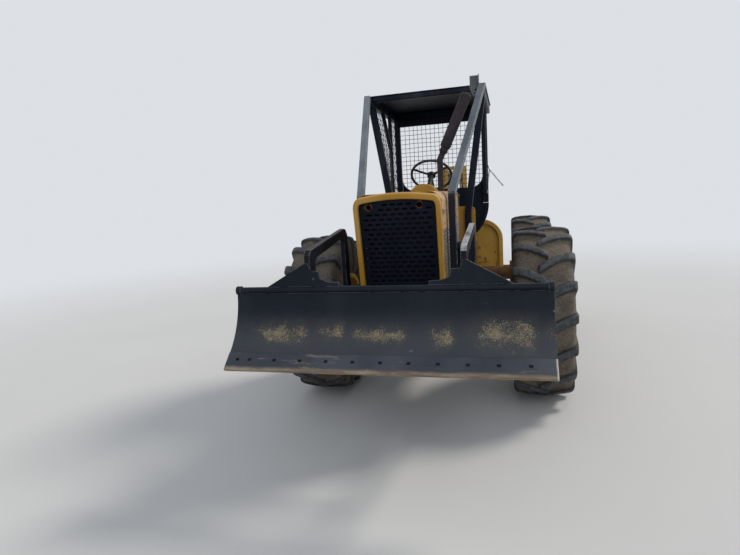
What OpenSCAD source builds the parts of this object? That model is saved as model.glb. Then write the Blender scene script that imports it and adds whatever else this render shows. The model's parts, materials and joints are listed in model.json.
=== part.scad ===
// Small two-frame cable skidder with a front blade and an open canopy, in millimetres.
// The front of the machine faces -Y, +X is its left side and z = 0 is the ground.
// Every module is drawn with y = 0 at the front axle, then moved so that the
// origin is at the middle of the machine's length.

/* [Chassis] */
// Distance between the front and rear axles
wheelbase = 2330; // [2200:10:2500]
// Distance between the middles of the left and right tyres
track = 1930; // [1860:10:2050]
// Outside half width of the two frames
frame_half = 250; // [230:5:260]
// Thickness of the frame side plates
rail_t = 25; // [15:1:35]
// Underside of the frame side plates
rail_z0 = 600; // [580:5:620]
// Top of the frame side plates
rail_z1 = 900; // [880:5:930]
// Front end of the front frame, ahead of the front axle
frame_front = 1230; // [1180:5:1260]
// Radius of the upright pins that join the frames
pivot_r = 40; // [30:1:50]

/* [Wheels] */
// Outside radius of a tyre, over the lugs
tyre_r = 730; // [700:5:745]
// Width of a tyre
tyre_w = 480; // [420:10:520]
// Height of a tyre's lugs
lug_h = 42; // [25:1:50]
// Radius of the rim where the tyre's bead sits
rim_r = 330; // [310:5:350]
// Radius of the axle's end, on which the wheel turns
spindle_r = 60; // [45:1:70]

/* [Blade] */
// Width of the blade
blade_w = 1900; // [1700:20:2000]
// Radius of the blade's hollow face
blade_r = 480; // [440:5:560]
// Height of the blade's curve centre above the ground
blade_cz = 1246; // [1225:1:1265]
// Distance of the blade's curve centre ahead of the front axle
blade_cy = 2248; // [2230:1:2270]
// Thickness of the blade's plate
blade_t = 12; // [8:1:16]
// Height of the bolted cutting edge
edge_h = 120; // [90:5:150]
// Thickness of the bolted cutting edge
edge_t = 20; // [14:1:26]
// Distance from the machine's middle to a blade arm's middle
arm_x = 470; // [455:5:490]
// Thickness of a blade arm
arm_t = 36; // [24:2:44]

/* [Hood and cab] */
// Outside half width of the hood and grille frame
hood_half = 295; // [280:5:300]
// Top of the hood
hood_z1 = 1800; // [1760:5:1830]
// Thickness of the sheet metal
sheet_t = 5; // [3:0.5:8]
// Forward lean of the grille in degrees
grille_lean = 8.5; // [4:0.5:10]
// Top of the operator's floor
floor_z = 1215; // [1213:1:1230]
// Half width of the canopy's roof
roof_half = 540; // [500:5:560]
// Top of the canopy's roof
roof_z = 2700; // [2600:10:2750]
// Front of the canopy, behind the front axle
cab_y0 = 180; // [150:5:220]
// Back of the canopy, behind the front axle
cab_y1 = 1210; // [1180:5:1240]
// Side of a square canopy post
post_w = 60; // [50:2:70]

/* [Hidden] */
// Joint pins, with their running clearance
pin_gap = 0.1;
seat_gap = 0.3;
// How far welded shapes of one piece run into each other
weld = 4;
pivot_y = wheelbase / 2;
rear_y = wheelbase;
// Plan centre of the whole machine, from the blade's edge to the butt plate
edge_a = -48;
edge_lap = 6;
blade_front = -blade_cy + (blade_r - edge_lap) * cos(edge_a) + edge_h * sin(edge_a);
butt_back = rear_y + 800;
mid_y = (blade_front + butt_back) / 2;
rail_in = frame_half - rail_t;

// Draws a side profile, given as (y, z), between two values of x
module across(x0, x1) {
    translate([x0, 0, 0]) rotate([90, 0, 90]) linear_extrude(x1 - x0) children();
}

// Draws a front profile, given as (x, z), between two values of y
module along(y0, y1) {
    translate([0, y1, 0]) rotate([90, 0, 0]) linear_extrude(y1 - y0) children();
}

// A box from its low and high corners
module box(p, q) {
    translate(p) cube(q - p);
}

// The same thing on the left and on the right
module both_sides() {
    children();
    mirror([1, 0, 0]) children();
}

// A straight bar of square section between two points in a side or front profile
module bar2(p, q, w) {
    len_pq = norm(q - p);
    translate(p) rotate(atan2(q[1] - p[1], q[0] - p[0])) translate([0, -w / 2]) square([len_pq, w]);
}

// A bar with round ends in a profile
module link2(p, q, w) {
    bar2(p, q, w);
    translate(p) circle(w / 2, $fn = 48);
    translate(q) circle(w / 2, $fn = 48);
}

// A round bar between two points in space
module rod3(p, q, r) {
    d = q - p;
    translate(p) rotate([0, acos(d[2] / norm(d)), atan2(d[1], d[0])]) cylinder(h = norm(d), r = r, $fn = 48);
}

// A round hole or bar along X
module cyl_x(x0, x1, y, z, r) {
    translate([x0, y, z]) rotate([0, 90, 0]) cylinder(h = x1 - x0, r = r, $fn = 64);
}

// A rectangle whose two upper corners are round
module shoulder_profile(half, z0, z1, r) {
    translate([-half, z0]) square([2 * half, z1 - z0 - r]);
    translate([-half + r, z0]) square([2 * (half - r), z1 - z0]);
    for (s = [-1, 1]) translate([s * (half - r), z1 - r]) circle(r, $fn = 64);
}

/* Front frame */
axle_z = tyre_r;
axle_hole_r = 115;
trunnion_r = 60;
cradle_y = 230;
cradle_t = 35;
plate_t = 30;
tongue_gap = 6;
frame_back = 860;
rail_back = frame_back - 120;
hinge_r = 110;
arm_pin_r = 38;
arm_pivot = [-300, 640];
arm_bore_x = arm_x + arm_t / 2;

module hinge_plate(z, back) {
    box([-frame_half, back, z], [frame_half, frame_back, z + plate_t]);
    difference() {
        union() {
            box([-hinge_r, frame_back - weld, z], [hinge_r, pivot_y, z + plate_t]);
            translate([0, pivot_y, z]) cylinder(h = plate_t, r = hinge_r, $fn = 96);
        }
        translate([0, pivot_y, z - 1]) cylinder(h = plate_t + 2, r = pivot_r + pin_gap, $fn = 96);
    }
}

module front_frame() color("#2b2a26") {
    difference() {
        both_sides() box([rail_in, -frame_front, rail_z0], [frame_half, rail_back, rail_z1]);
        cyl_x(-frame_half - 1, frame_half + 1, 0, axle_z, axle_hole_r);
    }
    // Cross plates: nose, engine seats, bulkhead
    box([-rail_in, -frame_front, rail_z0], [rail_in, -frame_front + plate_t, rail_z1]);
    for (y = [-1000, -400]) box([-rail_in, y, 700], [rail_in, y + 40, 760]);
    // Cradles that hold the axle's trunnions
    for (s = [-1, 1]) difference() {
        box([-rail_in, s * cradle_y - cradle_t / 2, rail_z0], [rail_in, s * cradle_y + cradle_t / 2, rail_z1 - 40]);
        translate([0, s * cradle_y - cradle_t, axle_z]) rotate([-90, 0, 0])
            cylinder(h = 2 * cradle_t, r = trunnion_r + seat_gap, $fn = 96);
    }
    hinge_plate(rail_z1, 640);
    hinge_plate(rail_z0 - plate_t, 560);
    // Pins on which the blade arms turn
    both_sides() cyl_x(frame_half - weld, arm_bore_x + 12, arm_pivot[0], arm_pivot[1], arm_pin_r);
    both_sides() cyl_x(frame_half - weld, arm_x - arm_t / 2 - 6, arm_pivot[0], arm_pivot[1], 62);
}

module belly_guard() color("#2b2a26") {
    difference() {
        box([-frame_half, -frame_front, rail_z0 - 12], [frame_half, arm_pivot[0] - 80, rail_z0]);
        for (y = [-1080, -700]) translate([0, y, rail_z0 - 20]) cylinder(h = 30, r = 45, $fn = 48);
    }
}

module axle_housing(trunnions) {
    // Differential, tubes, planetary hubs and spindles
    hub_in = track / 2 - 265;
    hub_out = track / 2 - 167;
    translate([0, 0, axle_z]) {
        sphere(r = 188, $fn = 64);
        rotate([0, 90, 0]) cylinder(h = 2 * hub_in, r = 95, center = true, $fn = 64);
        both_sides() rotate([0, 90, 0]) {
            translate([0, 0, hub_in]) cylinder(h = hub_out - hub_in, r = 150, $fn = 64);
            translate([0, 0, hub_out - weld]) cylinder(h = 70 + weld, r = spindle_r, $fn = 96);
        }
        if (trunnions) rotate([90, 0, 0])
            cylinder(h = 2 * cradle_y + cradle_t, r = trunnion_r, center = true, $fn = 96);
    }
}

module front_axle() color("#6b5a3c") axle_housing(true);

module rear_axle() color("#6b5a3c") translate([0, rear_y, 0]) axle_housing(false);

/* Engine, radiator, grille and hood */
rad_z1 = 1740;
grille_z0 = 960;
grille_y0 = -1130;
frame_depth = 70;
grille_h = (hood_z1 - grille_z0) / cos(grille_lean) + 6;
crown_r = 1450;
side_z = 1540;
firewall_y = -150;

block_half = 170;
block_y0 = -1040;
block_y1 = -320;
block_h = 430;
sump_z0 = 760;
rocker_z0 = 1270;
rocker_z1 = 1430;
engine_z = 1060;
bell_r = 185;
module power_unit() color("#8a6d1f") {
    box([-block_half, block_y0, rocker_z0 - block_h], [block_half, block_y1, rocker_z0]);
    box([-block_half + 20, block_y0 + 10, sump_z0], [block_half - 20, block_y1 - 10, rocker_z0 - block_h + weld]);
    box([-100, block_y0 + 50, rocker_z0 - weld], [100, block_y1 - 50, rocker_z1]);
    translate([0, block_y1 - weld, engine_z]) rotate([-90, 0, 0]) cylinder(h = 24 + 2 * weld, r = bell_r, $fn = 64);
    for (q = [[block_half - 5, -470, 905, 35, 200], [block_half - 20, -860, 1160, 45, 120]])
        translate([q[0], q[1] - q[4] / 2, q[2]]) rotate([-90, 0, 0]) cylinder(h = q[4], r = q[3], $fn = 48);
    box([-block_half - 27, -920, 1115], [-block_half + weld, -720, 1205]);
    box([-165, -300, 935], [165, 830, 1190]);
    box([-120, 330, rail_z0 + 40], [120, 620, 935]);
    translate([0, 620, 740]) rotate([-90, 0, 0]) cylinder(h = 200, r = 45, $fn = 48);
}

module radiator() color("#222222") box([-255, -1120, rail_z1], [255, -1060, rad_z1]);

// Places a thing drawn upright at y = 0 in the leaning plane of the grille
module leaned() {
    translate([0, grille_y0, grille_z0]) rotate([grille_lean, 0, 0]) children();
}

module grille_outline(half, z0, h, r) {
    intersection() {
        shoulder_profile(half, z0, h, r);
        translate([0, h - crown_r]) circle(crown_r, $fn = 360);
    }
}

module grille_frame() color("#c8921c") {
    leaned() difference() {
        along(-frame_depth, 0) grille_outline(hood_half, 0, grille_h, 90);
        along(-frame_depth - 1, 1) grille_outline(hood_half - 55, 60, grille_h - 70, 60);
    }
    // Feet that stand on the frame's nose
    both_sides() box([rail_in, grille_y0 - 60, rail_z1], [frame_half, grille_y0 - 20, grille_z0 + 12]);
}

// Slots in a brick pattern, and a lamp hole in each upper corner
slot_size = [40, 15.5];
slot_step = [54, 33];
lamp_r = 18;
lamp_at = [[-182, grille_h - 110], [162, grille_h - 107]];
module grille_panel() color("#161616") {
    leaned() along(-45, -37) difference() {
        grille_outline(hood_half - 55 - seat_gap, 60 + seat_gap, grille_h - 70 - seat_gap, 60);
        for (row = [0:18], col = [-4:4]) {
            u = (col + (row % 2) / 2) * slot_step[0];
            if (abs(u) + slot_size[0] / 2 < hood_half - 77) translate([u, 88 + row * slot_step[1]]) square(slot_size, center = true);
        }
        for (q = lamp_at) translate(q) circle(lamp_r, $fn = 48);
    }
}

module hood_cut() {
    leaned() box([-600, -1400, -400], [600, 0, 1400]);
}

module hood() color("#c8921c") {
    difference() {
        along(-1400, firewall_y) shoulder_profile(hood_half, side_z, hood_z1, 80);
        along(-1401, firewall_y + 1) shoulder_profile(hood_half - sheet_t, side_z - 1, hood_z1 - sheet_t, 80 - sheet_t);
        hood_cut();
    }
}

module hood_screens() color("#8d8a82") {
    difference() {
        both_sides() box([hood_half - sheet_t, -1400, 1150], [hood_half, firewall_y, side_z]);
        hood_cut();
    }
    // Stays from the frame up to the screens
    for (y = [-900, firewall_y - 30]) both_sides()
        box([hood_half - 45, y, rail_z1], [hood_half - sheet_t, y + 30, side_z]);
}

/* Operator's station */
dash_half = 200;
dash_y1 = 60;
column = [[0, -40, 1704], [0, 400, 1965]];
wheel_rim_r = 190;
wheel_tilt = 43;
deck_half = 360;
deck_y1 = 1180;

module dash_cowl() color("#c8921c") {
    box([-hood_half, firewall_y, floor_z], [hood_half, firewall_y + 6, hood_z1 - 12]);
    box([-dash_half, firewall_y + 6, 1480], [dash_half, dash_y1 - 60, hood_z1 - 12]);
    difference() {
        translate([0, firewall_y, 1746]) rotate([-90, 0, 0]) cylinder(h = 160, r = 130, $fn = 96);
        box([-140, firewall_y - 1, 1500], [140, dash_y1, hood_z1 - 12]);
    }
}

module steering_wheel() color("#151515") {
    difference() {
        rod3(column[0], column[1], 22);
        box([-140, -300, 1500], [140, dash_y1 - 60, hood_z1 + 100]);
    }
    translate(column[1]) rotate([-wheel_tilt, 0, 0]) {
        rotate_extrude($fn = 64) translate([wheel_rim_r, 0]) circle(12, $fn = 24);
        cylinder(h = 24, r = 40, center = true, $fn = 48);
        for (a = [0, 120, 240]) rotate([0, 0, a + 90]) translate([30, -9, -5]) cube([wheel_rim_r - 36, 18, 10]);
    }
}

module control_levers() color("#1b1b1b") {
    // Blade and winch levers, to the right of the driver
    box([-360, 350, floor_z], [-280, 610, floor_z + 60]);
    for (y = [380, 440, 500, 560]) {
        rod3([-320, y, floor_z + 50], [-300, y + 40, floor_z + 470], 8);
        translate([-300, y + 40, floor_z + 480]) sphere(r = 18, $fn = 32);
    }
}

module floor_deck() color("#2b2a26") {
    box([-deck_half, firewall_y, floor_z - 10], [deck_half, deck_y1, floor_z]);
    both_sides() box([frame_half - 15, firewall_y, rail_z1 + plate_t], [frame_half, 860, floor_z - 10]);
    both_sides() box([frame_half - 15, firewall_y, rail_z1], [frame_half, 640, rail_z1 + plate_t]);
}

seat_y0 = 700;
seat_y1 = 1130;
seat_back_t = 10;
seat_box_z = floor_z + 210;
cushion_t = 110;
pad_half = 230;
module seat_box() color("#1c1c1c") {
    box([-190, seat_y0, floor_z], [190, seat_y1, seat_box_z]);
    box([-200, seat_y1, floor_z], [200, seat_y1 + seat_back_t, floor_z + 560]);
}

module seat_cushion() color("#1c1c1c")
    box([-pad_half, seat_y0 - 50, seat_box_z + seat_gap], [pad_half, seat_y1 - 80, seat_box_z + cushion_t]);

module seat_back() color("#1c1c1c")
    box([-pad_half + 10, seat_y1 - 70, seat_box_z + 40], [pad_half - 10, seat_y1 - seat_gap, floor_z + 580]);

// Upright shields beside the driver's feet, with round upper corners
guard_y = 246;
guard_x0 = 250;
guard_x1 = 412;
guard_z1 = 1656;
guard_r = 45;
module foot_guards() color("#c8921c") both_sides() difference() {
    along(guard_y, guard_y + 12) {
        translate([guard_x0, 1120]) square([guard_x1 - guard_x0, guard_z1 - guard_r - 1120]);
        translate([guard_x0, 1120]) square([guard_x1 - guard_x0 - guard_r, guard_z1 - 1120]);
        translate([guard_x1 - guard_r, guard_z1 - guard_r]) circle(guard_r, $fn = 64);
    }
    box([0, guard_y - 1, 1100], [deck_half, guard_y + 13, floor_z]);
}

/* Canopy */
roof_t = 12;
beam_h = 80;
post_base = [350, 1600];
roof_front = cab_y0 - 60;
roof_back = cab_y1 + 60;

back_half = 500;
tub_r = 450;
tub_z = floor_z + tub_r;
side_beam_in = roof_half - post_w - 10;
beam_z = roof_z - roof_t - beam_h;

// Outline of the cab's back: straight sides and a nearly round bottom
module tub_outline(inset) {
    translate([-back_half + inset, tub_z]) square([2 * (back_half - inset), 400]);
    translate([-back_half + tub_r, tub_z - tub_r + inset]) square([2 * (back_half - tub_r), tub_r]);
    for (s = [-1, 1]) translate([s * (back_half - tub_r), tub_z]) circle(tub_r - inset, $fn = 180);
}

module canopy_posts() color("#191919") {
    both_sides() {
        // Front posts lean inwards below the roof, then stand upright on the floor
        along(cab_y0, cab_y0 + post_w) {
            bar2([roof_half - 40, beam_z + weld], post_base, post_w);
            translate([post_base[0] - post_w / 2, floor_z]) square([post_w, post_base[1] - floor_z]);
        }
        // Rear posts, which the cab's back carries
        box([back_half - post_w, cab_y1 - post_w, tub_z], [back_half, cab_y1, beam_z + weld]);
        // Roof frame
        box([side_beam_in, roof_front, beam_z], [roof_half - 10, roof_back, roof_z - roof_t]);
    }
    for (y = [roof_front, roof_back - post_w])
        box([-side_beam_in - weld, y, beam_z], [side_beam_in + weld, y + post_w, roof_z - roof_t]);
}

// Back wall: a rim as deep as the posts, and a plate that closes it up to the screen
window_z = 1840;
window_r = 130;
module cab_back() color("#191919") {
    along(cab_y1 - post_w, cab_y1) difference() {
        tub_outline(0);
        tub_outline(post_w / 2);
        translate([-600, tub_z]) square([1200, 600]);
    }
    along(cab_y1 - 8, cab_y1) difference() {
        intersection() {
            tub_outline(0);
            translate([-back_half + post_w, floor_z]) square([2 * (back_half - post_w), window_z + window_r - floor_z]);
        }
        translate([-back_half + post_w + window_r, window_z]) square([2 * (back_half - post_w - window_r), 400]);
        translate([-back_half + post_w - 1, window_z + window_r]) square([2 * (back_half - post_w) + 2, 400]);
        for (s = [-1, 1]) translate([s * (back_half - post_w - window_r), window_z + window_r]) circle(window_r, $fn = 96);
    }
    // Corners of the plate beside the rim, from the curve up to the posts
    both_sides() along(cab_y1 - 8, cab_y1) intersection() {
        tub_outline(0);
        translate([back_half - post_w - 1, floor_z]) square([post_w + 1, tub_z - floor_z]);
    }
}

// Square wire mesh, drawn with every second wire
wire = 5;
screen_pitch = 94;
module wire_grid(lo, hi) {
    n = [for (k = [0, 1]) round((hi[k] - lo[k]) / screen_pitch)];
    step = [for (k = [0, 1]) (hi[k] - lo[k] - wire) / n[k]];
    difference() {
        translate(lo) square(hi - lo);
        for (i = [0:n[0] - 1], j = [0:n[1] - 1])
            translate([lo[0] + wire + i * step[0], lo[1] + wire + j * step[1]]) square([step[0] - wire, step[1] - wire]);
    }
}

// Side bars inside the posts' line, and the mesh they hold
bar_w = 36;
bar_x1 = back_half - 2;
bar_x = bar_x1 - bar_w / 2;
bar_y = 850;
bar_z = 1780;
slant_foot = [bar_y - 30, 2290];
slant_head = [540, beam_z + weld];
screen_top = beam_z - seat_gap;
module wire3(p, q) {
    d = q - p;
    translate(p) rotate([0, acos(d[2] / norm(d)), atan2(d[1], d[0])]) cylinder(h = norm(d), r = wire / 2, $fn = 6);
}
function post_x(z) = post_base[0] + (roof_half - 40 - post_base[0]) * (z - post_base[1]) / (beam_z + weld - post_base[1]);
function skin_x(y, z) = post_x(z) + (bar_x - post_x(z)) * (y - cab_y0 - post_w / 2) / (bar_y - cab_y0 - post_w / 2);
function slant_y(z) = slant_foot[0] + max(0, (z - slant_foot[1]) / (slant_head[1] - slant_foot[1])) * (slant_head[0] - slant_foot[0]);
function slant_z(y) = min(slant_head[1], slant_head[1] + (y - slant_head[0]) * (slant_foot[1] - slant_head[1]) / (slant_foot[0] - slant_head[0]));
module side_screens() color("#191919") {
    both_sides() {
        box([bar_x1 - bar_w, bar_y - bar_w / 2, bar_z - bar_w / 2], [bar_x1, bar_y + bar_w / 2, screen_top]);
        box([bar_x1 - bar_w, bar_y, bar_z - bar_w / 2], [bar_x1, cab_y1 - post_w - seat_gap, bar_z + bar_w / 2]);
        across(bar_x + 2, bar_x + 2 + wire) wire_grid([bar_y + bar_w / 2 - weld, bar_z + bar_w / 2 - weld], [cab_y1 - post_w - seat_gap, screen_top]);
    }
    // Front mesh on the right side, from the slanted bar and the upright to the leaning post
    mirror([1, 0, 0]) difference() {
        union() {
        across(bar_x1 - bar_w + 1, bar_x1 - 1) bar2(slant_foot, slant_head, bar_w - 2);
        rod3([bar_x, bar_y - 10, bar_z], [post_x(bar_z), cab_y0 + post_w - weld, bar_z], bar_w / 2 - 1);
        for (z = [bar_z + screen_pitch:screen_pitch:beam_z - 20])
            wire3([skin_x(slant_y(z), z), slant_y(z), z], [skin_x(cab_y0 + post_w - weld, z), cab_y0 + post_w - weld, z]);
        for (y = [cab_y0 + post_w + 60:screen_pitch:bar_y - 60])
            wire3([skin_x(y, bar_z), y, bar_z], [skin_x(y, slant_z(y)), y, slant_z(y)]);
        }
        // Seats against the post's back and under the roof's side beam
        box([0, 0, floor_z], [roof_half, cab_y0 + post_w + seat_gap, roof_z]);
        box([0, 0, screen_top], [roof_half, cab_y1, roof_z + 100]);
    }
}

module canopy_roof() color("#191919") {
    box([-roof_half, roof_front, roof_z - roof_t], [roof_half, roof_back, roof_z]);
}

module rear_screen() color("#191919")
    along(cab_y1, cab_y1 + wire) wire_grid([-back_half + post_w - 20, window_z - 20], [back_half - post_w + 20, beam_z]);

/* Limb risers: bent tubes from the hood's shoulders up to the roof */
riser_w = 50;
riser_x = hood_half + 12 + riser_w / 2;
riser_y = -960;
riser_top = [roof_half - 27, roof_front - 20, roof_z - 15];
module riser_side() {
    a = [riser_x, riser_y, 1780];
    d = riser_top - a;
    yaw = atan2(d[0], norm([d[1], d[2]]));
    difference() {
        translate(a) rotate([-atan2(d[1], d[2]), 0, 0]) rotate([0, yaw, 0])
            translate([-riser_w / 2, -riser_w / 2, -12]) cube([riser_w, riser_w, norm(d) + 50]);
        box([0, roof_front, 2000], [1000, roof_front + 400, 3200]);
        box([0, -500, roof_z], [1000, 1000, 3200]);
    }
    box([riser_x - riser_w / 2, riser_y - riser_w / 2, rail_z1 + 30], [riser_x + riser_w / 2, riser_y + riser_w / 2, 1784]);
    // Foot bracket out from the frame
    box([frame_half, riser_y - 40, rail_z1 - 60], [riser_x + riser_w / 2, riser_y + 40, rail_z1 + 40]);
}

module limb_risers() color("#8f8f8b") both_sides() riser_side();

bracket_x0 = 405;
bracket_x1 = 486;
bracket_z1 = roof_z + 75;
bracket_flange = 60;
module riser_bracket() color("#8a8d90") {
    along(roof_front - 6, roof_front) difference() {
        polygon([[bracket_x0, roof_z - 32], [bracket_x0, bracket_z1], [bracket_x1, bracket_z1], [bracket_x1, roof_z - 50],
            [bracket_x0 + 30, roof_z - 100]]);
        for (q = [[47, -45], [37, -72]]) translate([bracket_x0 + q[0], roof_z + q[1]]) circle(9, $fn = 48);
    }
    box([bracket_x1 - 6, roof_front - bracket_flange, roof_z], [bracket_x1, roof_front, bracket_z1]);
}

/* Exhaust on the hood's left side: an upright pipe, then a slanted stretch with the muffler */
pipe_x = 190;
pipe_y = -420;
pipe_r = 24;
muffler_r = 42;
exhaust_lean = 25;
exhaust_dir = [sin(exhaust_lean), 0, cos(exhaust_lean)];
bend = [pipe_x, pipe_y, hood_z1 + 250];
muffler_a = bend + exhaust_dir * 100;
muffler_b = bend + exhaust_dir * 535;
module exhaust_pipe() color("#6b4630") {
    translate([pipe_x, pipe_y, hood_z1]) cylinder(h = bend[2] - hood_z1, r = pipe_r, $fn = 48);
    rod3(bend - exhaust_dir * 9, muffler_a, pipe_r);
}

module muffler() color("#6b4630") rod3(muffler_a, muffler_b, muffler_r);

/* Blade, its arms and its cylinders */
tower_x = 430;
tower_t = 24;
lift_x = 366;
lift_pin_r = 20;
lift_f = [-760, 1380];
lift_a = [-900, 745];
lift_barrel_r = 42;
lift_rod_r = 25;
lift_barrel_len = 470;

module cylinder_towers() color("#2b2a26") {
    both_sides() {
        // Outrigger, upright and pin
        box([frame_half, lift_f[0] - 20, rail_z1 - 70], [tower_x + tower_t / 2, lift_f[0] + 60, rail_z1]);
        across(tower_x - tower_t / 2, tower_x + tower_t / 2) {
            translate([lift_f[0] - 20, rail_z1 - 70]) square([60, lift_f[1] - rail_z1 + 70]);
            translate(lift_f) circle(40, $fn = 64);
        }
        cyl_x(lift_x - 32, tower_x, lift_f[0], lift_f[1], lift_pin_r);
    }
}

module lift_barrels() color("#2b2a26") both_sides() {
    u = (lift_a - lift_f) / norm(lift_a - lift_f);
    e = lift_f + u * lift_barrel_len;
    difference() {
        union() {
            cyl_x(lift_x - 26, lift_x + 26, lift_f[0], lift_f[1], 40);
            rod3([lift_x, lift_f[0] + u[0] * 36, lift_f[1] + u[1] * 36], [lift_x, e[0], e[1]], lift_barrel_r);
        }
        cyl_x(lift_x - 80, lift_x + 80, lift_f[0], lift_f[1], lift_pin_r + pin_gap);
        rod3([lift_x, lift_f[0] + u[0] * 75, lift_f[1] + u[1] * 75],
            [lift_x, e[0] + u[0], e[1] + u[1]], lift_rod_r + pin_gap);
    }
}

module lift_rods() color("#9a9a98") both_sides() {
    u = (lift_a - lift_f) / norm(lift_a - lift_f);
    rod3([lift_x, lift_f[0] + u[0] * 140, lift_f[1] + u[1] * 140],
        [lift_x, lift_a[0] - u[0] * 20, lift_a[1] - u[1] * 20], lift_rod_r);
    cyl_x(lift_x - 26, lift_x + 26, lift_a[0], lift_a[1], 38);
}

// Ring sector of the blade's curve, drawn as a side profile between two angles
module blade_sector(r0, r1, a0, a1) {
    translate([-blade_cy, blade_cz]) intersection() {
        difference() {
            circle(r1, $fn = 360);
            if (r0 > 0) circle(r0, $fn = 360);
        }
        polygon([[0, 0], 2 * r1 * [cos(a0), sin(a0)], 2 * r1 * [cos((a0 + a1) / 2), sin((a0 + a1) / 2)],
            2 * r1 * [cos(a1), sin(a1)]]);
    }
}

// Gusset wing above the blade, outside and inside one arm, each corner as (x, z)
gusset = [[270, 1246], [270, 1288], [340, 1292], [392, 1312], [398, 1356], [448, 1358], [462, 1405], [482, 1408], [775, 1246]];
gusset_y = -blade_cy + blade_r + blade_t;
module blade_plate() color("#23262b") {
    both_sides() along(gusset_y - blade_t, gusset_y) polygon(gusset);
    across(-blade_w / 2, blade_w / 2) blade_sector(blade_r, blade_r + blade_t, edge_a, 0);
    // Rolled top rim with a knob at each end
    cyl_x(-blade_w / 2, blade_w / 2, -blade_cy + blade_r + blade_t / 2, blade_cz, 20);
    for (s = [-1, 1]) cyl_x(s * (blade_w / 2 - 15) - 15, s * (blade_w / 2 - 15) + 15,
        -blade_cy + blade_r + blade_t / 2, blade_cz, 27);
    // Upright ribs behind the plate
    for (x = [-1, -0.62, -0.2, 0.2, 0.62, 1] * (blade_w / 2 - 10))
        across(x - 8, x + 8) blade_sector(blade_r + blade_t - 1, blade_r + 75, edge_a + 3, -5);
    // Lower and upper stiffening channels
    across(-blade_w / 2, blade_w / 2) blade_sector(blade_r + 75, blade_r + 87, edge_a + 3, edge_a + 18);
    across(-blade_w / 2, blade_w / 2) blade_sector(blade_r + 75, blade_r + 87, -18, -5);
}

module cutting_edge() color("#3a332c") {
    across(-blade_w / 2, blade_w / 2) translate([-blade_cy, blade_cz]) rotate(edge_a)
        translate([blade_r - edge_lap, -edge_h]) square([edge_t, edge_h]);
}

// Blade arm's outline and its window, each corner as (y, z)
arm_face = gusset_y + seat_gap;
arm_outline = [[-300, 705], [-940, 810], [-965, 1520], [-1000, 1560], [-1040, 1568], [arm_face + 35, 1482], [arm_face, 1452],
    [arm_face, 1200], [-1860, 840], [-1000, 680], [-300, 575]];
arm_window = [[-1040, 830], [-1040, 1482], [-1065, 1505], [-1630, 1425], [-1655, 1395], [-1655, 1200], [-1735, 955]];
module arm_profile() {
    difference() {
        polygon(arm_outline);
        polygon(arm_window);
    }
    translate(arm_pivot) circle(72, $fn = 96);
}

module blade_arms() color("#23262b") {
    both_sides() difference() {
        across(arm_x - arm_t / 2, arm_x + arm_t / 2) difference() {
            arm_profile();
            blade_sector(0, blade_r + 87 + seat_gap, -90, 3);
        }
        cyl_x(arm_x - arm_t, arm_x + arm_t, arm_pivot[0], arm_pivot[1], arm_pin_r + pin_gap);
    }
    // Stub pins that face the lift rods' eyes
    both_sides() cyl_x(lift_x + 32, arm_x - arm_t / 2, lift_a[0], lift_a[1], 24);
    // Cross tube that ties the two arms, behind the blade
    cyl_x(-arm_x, arm_x, -1560, 850, 45);
}

/* Rear frame, arch and winch */
rear_half = 300;
rear_y0 = pivot_y + 285;
rear_y1 = butt_back - 40;
rear_z0 = 580;
rear_z1 = 1000;
steer_f = [330, 560];
steer_a = [330, 1365];
steer_z = 780;
steer_pin_r = 20;
steer_barrel_r = 40;
shelf_z1 = steer_z - steer_barrel_r - 6;
shelf_t = 20;

module rear_frame() color("#c08a1a") {
    difference() {
        both_sides() box([rear_half - rail_t, rear_y0, rear_z0], [rear_half, rear_y1, rear_z1]);
        cyl_x(-rear_half - 1, rear_half + 1, rear_y, axle_z, 95 + seat_gap);
    }
    box([-rear_half + rail_t, rear_y0, rear_z0], [rear_half - rail_t, rear_y0 + 30, rear_z1]);
    box([-rear_half + rail_t, rear_y1 - 30, rear_z0], [rear_half - rail_t, rear_y1, rear_z1]);
    box([-rear_half + rail_t, rear_y0 + 30, rear_z1 - 20], [rear_half - rail_t, 2120, rear_z1]);
    // Tongues that carry the upright pins
    for (z = [rail_z0 + tongue_gap, rail_z1 - tongue_gap - plate_t]) difference() {
        union() {
            box([-100, pivot_y, z], [100, rear_y0 + weld, z + plate_t]);
            translate([0, pivot_y, z]) cylinder(h = plate_t, r = 100, $fn = 96);
        }
        translate([0, pivot_y, z - 1]) cylinder(h = plate_t + 2, r = pivot_r + seat_gap, $fn = 96);
    }
    // Shelves under the steering rods' eyes
    both_sides() box([250, steer_a[1] - 30, shelf_z1 - shelf_t], [370, rear_y0 + weld, shelf_z1]);
}

rear_guard_y = 1610;
rear_guard_half = 632;
rear_guard_z1 = 1462;
rear_guard_r = 240;
lip_w = 45;
module rear_guard_outline(inset) {
    shoulder_profile(rear_guard_half - inset, 900, rear_guard_z1 - inset, rear_guard_r - inset);
}

module rear_guard() color("#c08a1a") difference() {
    union() {
        along(rear_guard_y, rear_guard_y + 70) difference() {
            rear_guard_outline(0);
            rear_guard_outline(lip_w);
        }
        along(rear_guard_y + 50, rear_guard_y + 60) rear_guard_outline(lip_w - weld);
        // Bolted triangular braces on its front face
        both_sides() along(rear_guard_y + 20, rear_guard_y + 50 + weld)
            polygon([[330, 960], [330, 1200], [345, 1200], [470, 1000], [470, 960]]);
    }
    box([-rear_half, rear_guard_y - 1, 800], [rear_half, rear_guard_y + 90, rear_z1]);
}

module pivot_pins() color("#8a8a88") {
    for (z = [rail_z0 - plate_t - 8, rail_z1 - tongue_gap - plate_t - 8])
        translate([0, pivot_y, z]) cylinder(h = 2 * plate_t + tongue_gap + 16, r = pivot_r, $fn = 96);
}

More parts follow.
